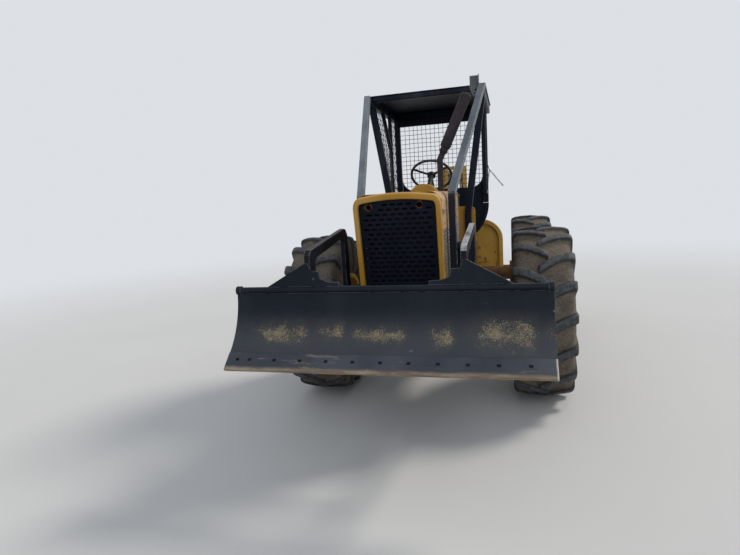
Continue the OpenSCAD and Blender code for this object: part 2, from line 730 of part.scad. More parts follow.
arch_y0 = 2600;
arch_y1 = 2700;
arch_z1 = 2150;
head_half = 155;
head_in = 105;
head_z0 = 1740;
cheek_y1 = arch_y1 + 170;
module arch() color("#9a6a24") {
    along(arch_y0, arch_y1) difference() {
        polygon([[-rear_half, rear_z1], [-head_half, head_z0], [-head_half, arch_z1],
            [head_half, arch_z1], [head_half, head_z0], [rear_half, rear_z1]]);
        polygon([[-rear_half + 75, rear_z1 - 1], [-head_in + 10, head_z0 - 80], [head_in - 10, head_z0 - 80], [rear_half - 75, rear_z1 - 1]]);
        translate([-head_in, head_z0]) square([2 * head_in, arch_z1 - head_z0 - 40]);
    }
    // Fairlead cheeks that reach back from the head
    both_sides() box([head_in, arch_y1 - weld, head_z0], [head_in + 20, cheek_y1, arch_z1 - 40]);
    // Braces from the head down to the frame's tail
    both_sides() across(head_in + 20, head_in + 50) difference() {
        bar2([arch_y1 - 10, 1830], [rear_y1 - 70, rear_z1 - 40], 70);
        translate([arch_y1 - 200, rear_z1 - 200]) square([700, 200]);
    }
    both_sides() box([head_in + 20, rear_y1 - 160, rear_z1], [rear_half, rear_y1 - 60, rear_z1 + 15]);
}

module fairlead_rollers() color("#77736c") {
    y = arch_y1 + 100;
    for (z = [head_z0 + 45, arch_z1 - 85]) cyl_x(-head_in, head_in, y, z, 34);
    for (s = [-1, 1]) translate([s * 70, y, head_z0 + 79]) cylinder(h = arch_z1 - head_z0 - 198, r = 28, $fn = 64);
}

module butt_plate() color("#5f5545") {
    // Curved plate at the tail against which the logs rest
    along(rear_y1, butt_back) translate([-330, 520]) square([660, 620]);
}

drum_y = 2030;
drum_z = 1300;
drum_half = 150;
module winch_frame() color("#c08a1a") {
    both_sides() difference() {
        across(drum_half + 10, drum_half + 60) {
            translate([drum_y - 200, rear_z1]) square([400, drum_z - rear_z1]);
            translate([drum_y, drum_z]) circle(200, $fn = 96);
        }
        cyl_x(drum_half, drum_half + 70, drum_y, drum_z, 40 + pin_gap);
    }
}

module winch_drum() color("#6f6a60") {
    cyl_x(-drum_half - 55, drum_half + 55, drum_y, drum_z, 40);
    cyl_x(-drum_half + 15, drum_half - 15, drum_y, drum_z, 140);
    for (s = [-1, 1]) cyl_x(s * (drum_half - 8) - 8, s * (drum_half - 8) + 8, drum_y, drum_z, 185);
}

/* Steering cylinders, on the left: the right side is its mirror image */
steer_eye_h = 52;
module steer_brackets() color("#2b2a26") both_sides() translate([steer_f[0], steer_f[1], steer_z]) {
    translate([frame_half - steer_f[0], -45, -72]) cube([steer_f[0] - frame_half + 40, 90, 24]);
    translate([0, 0, -48 - weld]) cylinder(h = 48 - steer_eye_h / 2 - 6 + weld, r = 34, $fn = 64);
    translate([0, 0, -48]) cylinder(h = 48 + steer_eye_h / 2 + 6, r = steer_pin_r, $fn = 96);
}

module steer_barrel() color("#2b2a26") translate([steer_f[0], steer_f[1], steer_z]) difference() {
    union() {
        translate([0, 0, -steer_eye_h / 2]) cylinder(h = steer_eye_h, r = 40, $fn = 64);
        rod3([0, 30, 0], [0, 60, 0], 25);
        rod3([0, 50, 0], [0, 520, 0], steer_barrel_r);
    }
    translate([0, 0, -60]) cylinder(h = 120, r = steer_pin_r + pin_gap, $fn = 96);
    rod3([0, 75, 0], [0, 521, 0], 22 + pin_gap);
}

module steer_rod() color("#9a9a98") {
    rod3([steer_f[0], steer_f[1] + 320, steer_z], [steer_a[0], steer_a[1] - 20, steer_z], 22);
    translate([steer_a[0], steer_a[1], steer_z - 26]) cylinder(h = 52, r = 36, $fn = 64);
}

/* Wheels, drawn with the axle along X and moved to their corners */
disc_x = -158;
disc_t = 16;
lug_n = 17;
rows = 4 * lug_n;
tread_mid = tyre_r - lug_h / 2;
shoulder_x = tyre_w / 2 - 2;
bead_x = 205;
bead_r = (rim_r + seat_gap) / cos(90 / lug_n);
cavity_x = 170;
cavity_r = tyre_r - lug_h - 38;
// Places along the tread at one lug pitch, for the left lugs, the middle and the right lugs
left_lug = [-57, -28, 28, 57];
middle = [-80, -51, 51, 80];
right_lug = [-103, -74, 74, 103];
in_lag = 38;
out_lag = 181;
function around(mm) = mm / tread_mid * 180 / PI;
lug_turn = -90 - around(in_lag + left_lug[1]);
function on_ring(x, r, a) = [x, -r * cos(a), r * sin(a)];
// Rings of the tread: x and radius between lugs, x and radius on a lug, trail, places, which are on a lug
tread_rings = [
    [-shoulder_x + 25, tyre_r - 108, -shoulder_x, tyre_r - 40, out_lag, left_lug, [0, 1, 1, 0]],
    [-40, tyre_r - lug_h, -40, tyre_r, in_lag, left_lug, [0, 1, 1, 0]],
    [0, tyre_r - lug_h, 0, tyre_r - lug_h, 0, middle, [0, 0, 0, 0]],
    [40, tyre_r - lug_h, 40, tyre_r, in_lag, right_lug, [1, 0, 0, 1]],
    [shoulder_x - 25, tyre_r - 108, shoulder_x, tyre_r - 40, out_lag, right_lug, [1, 0, 0, 1]]
];
// Rings of the walls and the cavity, from the right shoulder round the inside to the left one: x, radius
half_rings = [[shoulder_x - 2, tyre_r - 260], [bead_x, rim_r + 32], [bead_x, bead_r], [cavity_x, bead_r], [cavity_x, cavity_r]];
wall_rings = concat(half_rings, [for (k = [4:-1:0]) [-half_rings[k][0], half_rings[k][1]]]);
wall_n = len(wall_rings);
tyre_points = concat(
    [for (g = tread_rings) for (p = [0:lug_n - 1]) for (k = [0:3])
        let(a = lug_turn + p * 360 / lug_n + around(g[5][k] + g[4]), on = 2 * g[6][k]) on_ring(g[on], g[on + 1], a)],
    [for (g = wall_rings) for (p = [0:lug_n - 1]) for (k = [-1, 1])
        on_ring(g[0], g[1], lug_turn + p * 360 / lug_n + around(out_lag) + k * 90 / lug_n)]);
function tread_at(ring, k) = ring * rows + k % rows;
function wall_at(ring, k) = 5 * rows + ring * 2 * lug_n + k % (2 * lug_n);
function flipped(faces, flip) = [for (f = faces) flip ? [f[1], f[0], f[2]] : f];
// Faces from a shoulder's ring, four points to a lug, to a wall's ring, two to a lug
function shoulder_faces(t, w, flip) = [for (p = [0:lug_n - 1]) let(a = 4 * p, b = 2 * p) each flipped([
    [tread_at(t, a), tread_at(t, a + 1), wall_at(w, b)], [tread_at(t, a + 1), tread_at(t, a + 2), wall_at(w, b)],
    [tread_at(t, a + 2), wall_at(w, b + 1), wall_at(w, b)], [tread_at(t, a + 2), tread_at(t, a + 3), wall_at(w, b + 1)],
    [tread_at(t, a + 3), tread_at(t, a + 4), wall_at(w, b + 1)], [tread_at(t, a + 4), wall_at(w, b + 2), wall_at(w, b + 1)]], flip)];
tyre_faces = concat(
    [for (r = [0:3]) for (k = [0:rows - 1]) each [[tread_at(r, k), tread_at(r, k + 1), tread_at(r + 1, k + 1)],
        [tread_at(r, k), tread_at(r + 1, k + 1), tread_at(r + 1, k)]]],
    [for (g = [0:wall_n - 2]) for (k = [0:2 * lug_n - 1]) each [[wall_at(g, k), wall_at(g, k + 1), wall_at(g + 1, k + 1)],
        [wall_at(g, k), wall_at(g + 1, k + 1), wall_at(g + 1, k)]]],
    shoulder_faces(4, 0, false), shoulder_faces(0, wall_n - 1, true));
module tyre() color("#26241f") polyhedron(tyre_points, tyre_faces);

module rim() color("#c8921c") {
    rotate([0, 90, 0]) rotate_extrude($fn = 128) {
        translate([rim_r - 14, -215]) square([14, 430]);
        for (s = [-1, 1]) translate([rim_r - 14, s * 212 - 5]) square([42, 10]);
    }
    difference() {
        union() {
            cyl_x(disc_x, disc_x + disc_t, 0, 0, rim_r - 13);
            cyl_x(disc_x, disc_x + 92, 0, 0, 115);
        }
        translate([disc_x - 1, 0, 0]) rotate([0, 90, 0]) cylinder(h = 65, r = spindle_r + pin_gap, $fn = 96);
    }
}

// Puts a left wheel at an axle, or its mirror image on the right
module corner(side, y) {
    mirror([side < 0 ? 1 : 0, 0, 0]) translate([track / 2, y, axle_z]) children();
}

translate([0, -mid_y, 0]) {
    front_frame();
    belly_guard();
    front_axle();
    power_unit();
    radiator();
    grille_frame();
    grille_panel();
    hood();
    hood_screens();
    dash_cowl();
    steering_wheel();
    control_levers();
    floor_deck();
    seat_box();
    seat_cushion();
    seat_back();
    foot_guards();
    cab_back();
    side_screens();
    canopy_posts();
    canopy_roof();
    rear_screen();
    limb_risers();
    riser_bracket();
    exhaust_pipe();
    muffler();
    cylinder_towers();
    steer_brackets();
    blade_plate();
    cutting_edge();
    blade_arms();
    lift_barrels();
    lift_rods();
    rear_frame();
    rear_guard();
    rear_axle();
    pivot_pins();
    arch();
    fairlead_rollers();
    butt_plate();
    winch_frame();
    winch_drum();
    corner(1, 0) tyre();  // tyre_fl
    corner(1, 0) rim();  // rim_fl
    corner(-1, 0) tyre();  // tyre_fr
    corner(-1, 0) rim();  // rim_fr
    corner(1, rear_y) tyre();  // tyre_rl
    corner(1, rear_y) rim();  // rim_rl
    corner(-1, rear_y) tyre();  // tyre_rr
    corner(-1, rear_y) rim();  // rim_rr
    steer_barrel();  // steer_barrel_l
    steer_rod();  // steer_rod_l
    mirror([1, 0, 0]) steer_barrel();  // steer_barrel_r
    mirror([1, 0, 0]) steer_rod();  // steer_rod_r
}
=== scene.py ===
import json
import math

import bmesh
import bpy
from mathutils import Matrix, Vector
from mathutils.geometry import delaunay_2d_cdt
from mathutils.noise import noise as smooth_noise


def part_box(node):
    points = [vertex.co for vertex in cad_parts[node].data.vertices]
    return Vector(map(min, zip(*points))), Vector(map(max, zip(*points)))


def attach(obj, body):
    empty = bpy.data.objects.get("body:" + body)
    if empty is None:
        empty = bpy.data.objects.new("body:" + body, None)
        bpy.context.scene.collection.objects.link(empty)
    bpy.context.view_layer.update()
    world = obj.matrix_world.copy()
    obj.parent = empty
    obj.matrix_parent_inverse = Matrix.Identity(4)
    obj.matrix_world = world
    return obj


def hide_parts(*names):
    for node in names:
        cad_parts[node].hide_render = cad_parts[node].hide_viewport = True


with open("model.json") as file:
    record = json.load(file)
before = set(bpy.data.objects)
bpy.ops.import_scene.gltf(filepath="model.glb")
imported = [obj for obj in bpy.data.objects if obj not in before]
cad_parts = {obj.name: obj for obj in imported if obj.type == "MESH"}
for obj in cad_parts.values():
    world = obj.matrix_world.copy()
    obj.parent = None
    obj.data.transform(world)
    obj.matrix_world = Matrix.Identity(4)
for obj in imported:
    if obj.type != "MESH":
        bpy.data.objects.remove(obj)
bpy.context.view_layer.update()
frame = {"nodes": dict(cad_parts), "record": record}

# Camera
# A hand-held phone at standing height, a little to the machine's left of its blade.
eye = Vector((0.730, -5.250, 1.760))
yaw, pitch, roll = -0.2685, 0.1458, -0.0594
focal_px, photo_width_px, sensor = 522.8, 740, 36
sight = Vector((math.sin(yaw) * math.cos(pitch), math.cos(yaw) * math.cos(pitch), -math.sin(pitch)))
level = Vector((math.cos(yaw), -math.sin(yaw), 0))
upright = level.cross(sight)
to_right = math.cos(roll) * level + math.sin(roll) * upright
to_top = math.cos(roll) * upright - math.sin(roll) * level
camera = bpy.data.objects.new("camera", bpy.data.cameras.new("camera"))
bpy.context.scene.collection.objects.link(camera)
camera.data.sensor_width = sensor
camera.data.lens = sensor * (focal_px / photo_width_px)
camera.matrix_world = Matrix.Translation(eye) @ Matrix((to_right, to_top, -sight)).transposed().to_4x4()
bpy.context.scene.camera = camera
bpy.context.scene.view_settings.view_transform = "Standard"


# Floor, light and surround
# A plain pale studio floor and surround. A broad lamp high behind the machine's left stands for
# the hazy sun, and a wide soft one in front lights the shaded faces.
class Wire:
    """A node's output in a finish; arithmetic on it adds Math nodes."""

    tree = None

    def __init__(self, socket):
        self.socket = socket

    @classmethod
    def node(cls, kind, settings, values, out=0):
        made = cls.tree.nodes.new("ShaderNode" + kind)
        for name, value in settings.items():
            setattr(made, name, value)
        for name, value in values.items():
            if isinstance(value, Wire):
                cls.tree.links.new(value.socket, made.inputs[name])
            else:
                made.inputs[name].default_value = value
        return cls(made.outputs[out]) if made.outputs else made

    def math(self, operation, *values):
        return self.node("Math", {"operation": operation}, dict(enumerate(values)))

    def __add__(self, other):
        return self.math("ADD", self, other)

    __radd__ = __add__

    def __sub__(self, other):
        return self.math("SUBTRACT", self, other)

    def __rsub__(self, other):
        return self.math("SUBTRACT", other, self)

    def __mul__(self, other):
        return self.math("MULTIPLY", self, other)

    __rmul__ = __mul__

    def most(self, other):
        return self.math("MAXIMUM", self, other)

    def fade(self, low, high):
        """0 below low, 1 above high, and a smooth change between; low may be the larger one."""
        return self.node("MapRange", {"interpolation_type": "SMOOTHSTEP"},
                         {"Value": self, "From Min": low, "From Max": high})

    def part(self, axis):
        """The x, y or z of a place or a direction, for axis 0, 1 or 2."""
        return self.node("SeparateXYZ", {}, {0: self}, axis)


def tint(mask, under, over):
    """The colour under where the mask is 0, and over where it is 1."""
    under, over = (c if isinstance(c, Wire) else (*c, 1) for c in (under, over))
    return Wire.node("Mix", {"data_type": "RGBA"}, {0: mask, 6: under, 7: over}, 2)


def ray(kind):
    """1 for the rays of a kind, such as those that the camera sends."""
    return Wire.node("LightPath", {}, {}, "Is " + kind + " Ray")


backdrop = (0.72, 0.75, 0.79, 1)
world = bpy.data.worlds.new("surround")
bpy.context.scene.world = world
world.use_nodes = True
Wire.tree = world.node_tree
Wire.tree.nodes.clear()
seen = ray("Camera").most(ray("Glossy")).most(ray("Transmission"))
sky = Wire.node("Background", {}, {"Color": (0.80, 0.87, 0.97, 1), "Strength": 0.75})
pale = Wire.node("Background", {}, {"Color": backdrop, "Strength": 1.0})
Wire.node("OutputWorld", {}, {"Surface": Wire.node("MixShader", {}, {0: seen, 1: sky, 2: pale})})


def begin(name):
    """Starts a finish. Returns its material, its shader and a position in metres."""
    material = bpy.data.materials.new(name)
    material.use_nodes = True
    Wire.tree = material.node_tree
    shader = material.node_tree.nodes["Principled BSDF"]
    return material, shader, Wire.node("TexCoord", {}, {}, "Object")


def feed(shader, **sockets):
    """Links or sets the shader's sockets; Base_Color stands for Base Color."""
    for name, value in sockets.items():
        socket = shader.inputs[name.replace("_", " ")]
        if isinstance(value, Wire):
            Wire.tree.links.new(value.socket, socket)
        else:
            socket.default_value = (*value, 1) if isinstance(value, tuple) else value


def grain(place, scale, detail=4, rough=0.55, stretch=None, twist=0):
    """Fractal noise with so many features a metre, stretched along an axis where it says so."""
    if stretch:
        place = Wire.node("Mapping", {}, {"Vector": place, "Scale": stretch})
    values = {"Vector": place, "Scale": scale, "Detail": detail, "Roughness": rough, "Distortion": twist}
    return Wire.node("TexNoise", {}, values)


def relief(height, distance, strength):
    return Wire.node("Bump", {}, {"Height": height, "Distance": distance, "Strength": strength})


def link(obj):
    bpy.context.scene.collection.objects.link(obj)
    return obj


floor_reach, plain_from, plain_to = 60, 4.5, 15
floor_finish, shader, place = begin("studio_floor")
feed(shader, Base_Color=tint(grain(place, 0.6, 2), (0.50, 0.49, 0.47), (0.54, 0.53, 0.51)),
     Roughness=0.85, Specular_IOR_Level=0.2)
away = Wire.node("VectorMath", {"operation": "LENGTH"}, {0: place}, "Value").fade(plain_from, plain_to)
surround = Wire.node("Emission", {}, {"Color": backdrop, "Strength": 1.0})
eyed = ray("Camera").most(ray("Glossy"))
floor_out = Wire.node("MixShader", {}, {0: away * eyed, 1: Wire(shader.outputs[0]), 2: surround})
Wire.tree.links.new(floor_out.socket, Wire.tree.nodes["Material Output"].inputs["Surface"])
floor_mesh = bpy.data.meshes.new("floor")
corners = [(x * floor_reach, y * floor_reach, 0) for x, y in ((-1, -1), (1, -1), (1, 1), (-1, 1))]
floor_mesh.from_pydata(corners, [], [(0, 1, 2, 3)])
floor_mesh.materials.append(floor_finish)
link(bpy.data.objects.new("floor", floor_mesh))


def lamp(name, towards, spread, strength, colour):
    """Light from far away, so that it is even over the whole machine."""
    light = bpy.data.lights.new(name, "SUN")
    light.angle, light.energy, light.color = math.radians(spread), strength, colour
    obj = link(bpy.data.objects.new(name, light))
    obj.rotation_euler = Vector(towards).to_track_quat("Z", "Y").to_euler()


lamp("hazy_sun", (0.62, 0.50, 0.75), 14, 2.1, (1.0, 0.95, 0.88))
lamp("front_fill", (0.30, -0.85, 0.50), 60, 0.55, (0.93, 0.96, 1.0))


# Frames, axles and running gear in plain plate
# Welded plate, castings and turned parts that stay as the frame has them, with their sheared
# edges eased as a grinder leaves them.
def facing_part(axis):
    """A part of the direction in which the surface faces."""
    return Wire.node("NewGeometry", {}, {}, "Normal").part(axis)


def edge_wear(width):
    """0 on flat faces, more along outer edges within the width, where a rounded normal differs."""
    soft = Wire.node("Bevel", {"samples": 4}, {"Radius": width})
    true = Wire.node("NewGeometry", {}, {}, "Normal")
    bent = 1 - Wire.node("VectorMath", {"operation": "DOT_PRODUCT"}, {0: soft, 1: true}, "Value")
    return bent.fade(0.004, 0.12)


def enamel(name, paint, faded, bare, dust, chips, dusty, mud_top=0.0, shine=0.2):
    """Old brushed or sprayed paint: faded in clouds, chipped to the metal at edges, dusty where
    dust can lie, and splashed with mud up to mud_top."""
    material, shader, place = begin(name)
    clouds = grain(place, 2.3, 4, 0.6)
    fine = grain(place, 46, 6, 0.62)
    spots = grain(place, 15, 8, 0.68, twist=0.4)
    coat = tint(clouds.fade(0.35, 0.68), paint, faded)
    coat = tint(grain(place, 6, 5, 0.6, (1, 1, 0.25)).fade(0.52, 0.75) * 0.35, coat, dust)
    settled = facing_part(2).fade(0.2, 0.95) * grain(place, 11, 5, 0.6).fade(0.3, 0.72) * dusty
    if mud_top:
        splash = (place.part(2) + grain(place, 5, 6, 0.65) * 0.5).fade(mud_top + 0.25, mud_top - 0.15)
        settled = settled.most(splash * grain(place, 18, 6, 0.7).fade(0.36, 0.56))
    chipped = (spots + edge_wear(0.006) * 0.30 + (chips - 0.5) * 0.16).fade(0.63, 0.66)
    metal = tint(fine.fade(0.35, 0.65), bare, tuple(0.45 * c for c in bare))
    feed(shader, Base_Color=tint(chipped, tint(settled, coat, dust), metal),
         Roughness=(chipped * 0.2 + settled * 0.35 + (fine * 0.16 + 0.38)), Specular_IOR_Level=shine,
         Normal=relief(fine * 0.12 + clouds * 0.5 + settled * 0.5 - chipped * 0.9, 0.0012, 0.7))
    return material


black_paint = enamel("black_paint", (0.0045, 0.0065, 0.012), (0.009, 0.013, 0.021),
                     (0.07, 0.055, 0.05), (0.09, 0.08, 0.07), 0.22, 0.25, shine=0.12)
frame_paint = enamel("frame_paint", (0.014, 0.014, 0.016), (0.030, 0.028, 0.026),
                     (0.11, 0.075, 0.05), (0.20, 0.155, 0.11), 0.5, 0.9, mud_top=0.75)
yellow_paint = enamel("yellow_paint", (0.365, 0.175, 0.018), (0.440, 0.240, 0.045),
                      (0.10, 0.06, 0.04), (0.36, 0.27, 0.16), 0.33, 0.35)
rear_yellow = enamel("rear_yellow", (0.38, 0.195, 0.024), (0.44, 0.255, 0.05),
                     (0.09, 0.05, 0.03), (0.27, 0.185, 0.11), 0.62, 0.8, mud_top=0.9)

muddy_iron, shader, place = begin("muddy_iron")
cake = grain(place, 9, 8, 0.7).fade(0.34, 0.6)
oil = grain(place, 4, 4, 0.6).fade(0.5, 0.72)
oily = tint(oil, (0.11, 0.06, 0.03), (0.02, 0.017, 0.014))
feed(shader, Base_Color=tint(cake, oily, (0.24, 0.15, 0.085)), Roughness=cake * 0.35 + 0.5, Metallic=0.1,
     Specular_IOR_Level=0.2, Normal=relief(cake + grain(place, 60, 5) * 0.4, 0.004, 0.8))

bare_steel, shader, place = begin("bare_steel")
stain = grain(place, 13, 6, 0.65).fade(0.45, 0.68)
feed(shader, Base_Color=tint(stain, (0.42, 0.42, 0.42), (0.15, 0.09, 0.06)), Metallic=0.85 - stain * 0.6,
     Roughness=grain(place, 40, 5) * 0.3 + stain * 0.3 + 0.2, Normal=relief(grain(place, 90, 4), 0.0006, 0.5))


def settle(obj, finish, body, slot, stands_for=()):
    """Gives a piece its finish, its body and the nodes that it stands for. The slot is not used."""
    obj.data.materials.clear()
    obj.data.materials.append(finish)
    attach(obj, body)
    if stands_for:
        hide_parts(*stands_for)
    return obj


def made_of(name, shape):
    """An object from a finished mesh under construction, which is freed."""
    mesh = bpy.data.meshes.new(name)
    shape.to_mesh(mesh)
    shape.free()
    return link(bpy.data.objects.new(name, mesh))


def ease(obj, width, segments=2):
    """Rounds an object's sharp edges and evens its shading."""
    bevel = obj.modifiers.new("eased_edges", "BEVEL")
    bevel.width, bevel.segments = width, segments
    bevel.limit_method, bevel.angle_limit = "ANGLE", math.radians(32)
    obj.modifiers.new("even_shading", "WEIGHTED_NORMAL").keep_sharp = True
    obj.data.polygons.foreach_set("use_smooth", [True] * len(obj.data.polygons))
    return obj


slots = {part["node"]: part["material_slot"] for part in frame["record"]["subparts"]}
bodies = frame["record"]["behaviour"]["bodies"]
body_of = {node: body for body, members in bodies.items() for node in members}


def in_place_of(node):
    """The body, slot and replaced node of a piece that stands in a node's place."""
    return body_of[node], slots[node], [node]


def eased(node, finish, width, segments=2, bore=None):
    """Stands a copy with eased edges in a node's place. A bore, given by its axis's y and z and its
    radius, is opened by a little play, so that its facets clear those of the pin in it."""
    play, bore_slack, same_spot, flat_angle = 0.0009, 0.001, 2e-5, math.radians(0.8)
    shape = bmesh.new()
    shape.from_mesh(frame["nodes"][node].data)
    for vertex in shape.verts if bore else ():
        arm = Vector((0, vertex.co.y - bore[0], vertex.co.z - bore[1]))
        if abs(arm.length - bore[2]) < bore_slack:
            vertex.co += play * arm.normalized()
    bmesh.ops.remove_doubles(shape, verts=shape.verts, dist=same_spot)
    bmesh.ops.dissolve_limit(shape, angle_limit=flat_angle, verts=shape.verts, edges=shape.edges)
    obj = ease(made_of(node + "_eased", shape), width, segments)
    return settle(obj, finish, *in_place_of(node))


for node, finish, width in (
    ("front_frame", frame_paint, 0.003), ("belly_guard", frame_paint, 0.003),
    ("front_axle", muddy_iron, 0.004), ("radiator", black_paint, 0.003),
    ("cylinder_towers", black_paint, 0.003), ("steer_brackets", frame_paint, 0.002),
    ("lift_barrels", black_paint, 0.003), ("lift_rods", bare_steel, 0.002),
    ("rear_frame", rear_yellow, 0.003), ("rear_axle", muddy_iron, 0.004), ("pivot_pins", bare_steel, 0.003),
    ("steer_barrel_l", black_paint, 0.003), ("steer_rod_l", bare_steel, 0.002),
    ("steer_barrel_r", black_paint, 0.003), ("steer_rod_r", bare_steel, 0.002),
):
    eased(node, finish, width)


# Tyres
# Forestry tyres with 17 chevron lugs a side, staggered by half a pitch, whose points pass the
# middle and lead downwards at the front. Moulded rubber, grey on the lugs and dusty between.
lugs, tread_r = 17, 0.709
lug_pitch = 2 * math.pi * tread_r / lugs
past_middle, point_run, flare, flare_from = 0.046, 0.012, 0.9, 0.08
# How much of its height a lug has, by the distance along the tread from its middle
lug_cut = ((0.0, 1.0), (0.026, 1.0), (0.031, 0.94), (0.036, 0.72), (0.045, 0.26), (0.057, 0.0))
# The carcass and the lugs' tops: place across, distance from the middle, radius
carcass = ((0, 0, 0.688), (0.1, 0.1, 0.684), (0.17, 0.17, 0.672), (0.2, 0.196, 0.656), (0.22, 0.206, 0.640),
           (0.24, 0.213, 0.620), (0.27, 0.221, 0.590), (0.32, 0.232, 0.535), (0.36, 0.2365, 0.490),
           (0.39, 0.236, 0.455), (0.42, 0.229, 0.418), (0.43, 0.231, 0.408), (0.44, 0.228, 0.396),
           (0.47, 0.214, 0.366), (0.5, 0.2, 0.340))
lug_tops = ((0, 0, 0.7285), (0.1, 0.101, 0.7245), (0.17, 0.173, 0.7155), (0.2, 0.206, 0.708),
            (0.22, 0.226, 0.698), (0.24, 0.236, 0.677), (0.27, 0.238, 0.636), (0.32, 0.238, 0.560),
            (0.36, 0.237, 0.500), (0.39, 0.236, 0.455), (0.5, 0.2, 0.340))
half_across = (0.012, 0.024, 0.033, 0.039, 0.045, 0.052, 0.068, 0.088, 0.11, 0.13, 0.15, 0.17, 0.185, 0.2,
               0.21, 0.22, 0.23, 0.24, 0.255, 0.27, 0.285, 0.3, 0.32, 0.34, 0.36, 0.39, 0.42, 0.43, 0.44,
               0.47, 0.5)
across = [-a for a in reversed(half_across)] + [0] + list(half_across)
lug_steps = [-step for step, _ in reversed(lug_cut[1:])] + [step for step, _ in lug_cut]
steps = sorted(lug_steps + [lug_pitch / 2 + step for step in lug_steps])
side_wall = 0.36


def read_off(table, where):
    """The rest of a table's row at a place in its first column."""
    for low, high in zip(table, table[1:]):
        if where <= high[0]:
            part = (where - low[0]) / (high[0] - low[0])
            return [a + part * (b - a) for a, b in zip(low[1:], high[1:])]
    return list(table[-1][1:])


def lag(out):
    """How far a lug trails along the tread at a distance out from the middle."""
    return 0.711 * out - 0.906 * out * out if out > 0 else 0.711 * out


def lug_share(side, x, step):
    """How much of its height the nearest lug of one side has, at x across and a step along."""
    gone = step - (lug_pitch / 2 if side < 0 else 0) + lag(abs(x)) - lag(side * x)
    gone = abs((gone + lug_pitch / 2) % lug_pitch - lug_pitch / 2)
    gone /= 1 + flare * max(0, side * x - flare_from)
    inner_end = min(1, max(0, (side * x + past_middle) / point_run))
    return read_off(lug_cut, min(gone, lug_cut[-1][0]))[0] * inner_end


def surface(name, points, faces):
    """An object with a mesh of these points and faces."""
    mesh = bpy.data.meshes.new(name)
    mesh.from_pydata(points, [], faces)
    return link(bpy.data.objects.new(name, mesh))


def tyre(node, hub, turn, seed):
    points, faces, heights = [], [], []
    columns = [(side, read_off(carcass, abs(side)), read_off(lug_tops, abs(side))) for side in across]
    for ring in range(lugs):
        for step in steps:
            for place_across, base, top in columns:
                sign = -1 if place_across < 0 else 1
                share = max(lug_share(1, sign * base[0], step), lug_share(-1, sign * base[0], step))
                angle = (ring * lug_pitch + step + lag(base[0])) / tread_r + turn
                spot = Vector((sign * base[0] * 11, math.cos(angle) * 8, math.sin(angle) * 8))
                spot += Vector((seed, 0, 0))
                worn = share * (0.0016 + 0.0030 * smooth_noise(spot) + 0.0022 * smooth_noise(3.7 * spot))
                x = sign * (base[0] + (top[0] - base[0]) * share)
                r = base[1] + (top[1] - base[1]) * share - max(0, worn)
                points.append((x, -r * math.cos(angle), r * math.sin(angle)))
                heights.append(share if abs(place_across) < side_wall else share * 0.5)
    rows, wide = lugs * len(steps), len(columns)
    for row in range(rows):
        here, there = row * wide, (row + 1) % rows * wide
        for column in range(wide):
            after = (column + 1) % wide
            faces.append((here + column, here + after, there + after, there + column))
    obj = surface(node + "_lugged", points, faces)
    obj.data.attributes.new("tread", "FLOAT", "POINT").data.foreach_set("value", heights)
    obj.data.polygons.foreach_set("use_smooth", [True] * len(faces))
    obj.location = hub
    return settle(obj, rubber, *in_place_of(node))


def middle_of(node):
    return [(low + high) / 2 for low, high in zip(*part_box(node))]


rubber, shader, place = begin("tyre_rubber")
tread = Wire.node("Attribute", {"attribute_name": "tread"}, {}, "Fac")
bits = grain(place, 70, 6, 0.65)
cloud = grain(place, 7, 6, 0.62)
scuffed = tint(grain(place, 24, 6, 0.7).fade(0.38, 0.66), (0.034, 0.037, 0.041), (0.088, 0.092, 0.096))
bare_rubber = tint(tread.fade(0.72, 0.98), (0.026, 0.025, 0.025), scuffed)
dust = tint(bits.fade(0.3, 0.7), (0.090, 0.072, 0.054), (0.155, 0.128, 0.098))
low = 1 - tread.fade(0.05, 0.9)
dusty = (cloud * 0.9 + low * 0.45 + bits * 0.20).fade(0.58, 1.10)
feed(shader, Base_Color=tint(dusty, bare_rubber, dust), Roughness=dusty * 0.25 + 0.62,
     Specular_IOR_Level=0.15, Normal=relief(bits * 0.5 + grain(place, 190, 3) * 0.3 + cloud, 0.003, 0.6))
# Each tyre's turn, and the seed of its wear
tyres = {"tyre_fl": (0.33, 1), "tyre_fr": (0.056, 27), "tyre_rl": (0.22, 53), "tyre_rr": (0.05, 81)}
for node, (turn, seed) in tyres.items():
    tyre(node, middle_of(node), turn, seed)


# Rims and wheel nuts
# Dished steel discs in drop-centre rims, painted yellow, held by rings of nuts on studs, with the
# planetary hub's cover bolted in the middle.
def put_bolts(name, spots, facing, across_flats, tall, body, finish):
    """Hexagon heads on washers, each at a spot and standing up along its facing."""
    washer_r, head_r, washer_top, next_turn = across_flats / 2 * 1.5, across_flats / 1.73, tall * 0.22, 0.37
    shape = bmesh.new()
    turn_to = Vector(facing).to_track_quat("Z", "Y").to_matrix().to_4x4()
    for count, spot in enumerate(spots):
        stood = Matrix.Translation(spot) @ turn_to @ Matrix.Rotation(count * next_turn, 4, "Z")
        for radius, low, high, sides in ((washer_r, 0, washer_top, 16), (head_r, washer_top, tall, 6)):
            middle = stood @ Matrix.Translation((0, 0, (low + high) / 2))
            bmesh.ops.create_cone(shape, cap_ends=True, segments=sides, radius1=radius, radius2=radius,
                                  depth=high - low, matrix=middle)
    return settle(ease(made_of(name, shape), across_flats * 0.06), finish, body, "bare_steel")


def circle(x, y, z, radius, count, first=0):
    """Places evenly round a circle about an axis that runs across the machine."""
    angles = [2 * math.pi * (k + first) / count for k in range(count)]
    return [Vector((x, y + radius * math.cos(a), z + radius * math.sin(a))) for a in angles]


rim_paint = enamel("rim_paint", (0.40, 0.21, 0.026), (0.47, 0.28, 0.06),
                   (0.10, 0.055, 0.035), (0.24, 0.17, 0.105), 0.55, 0.9)
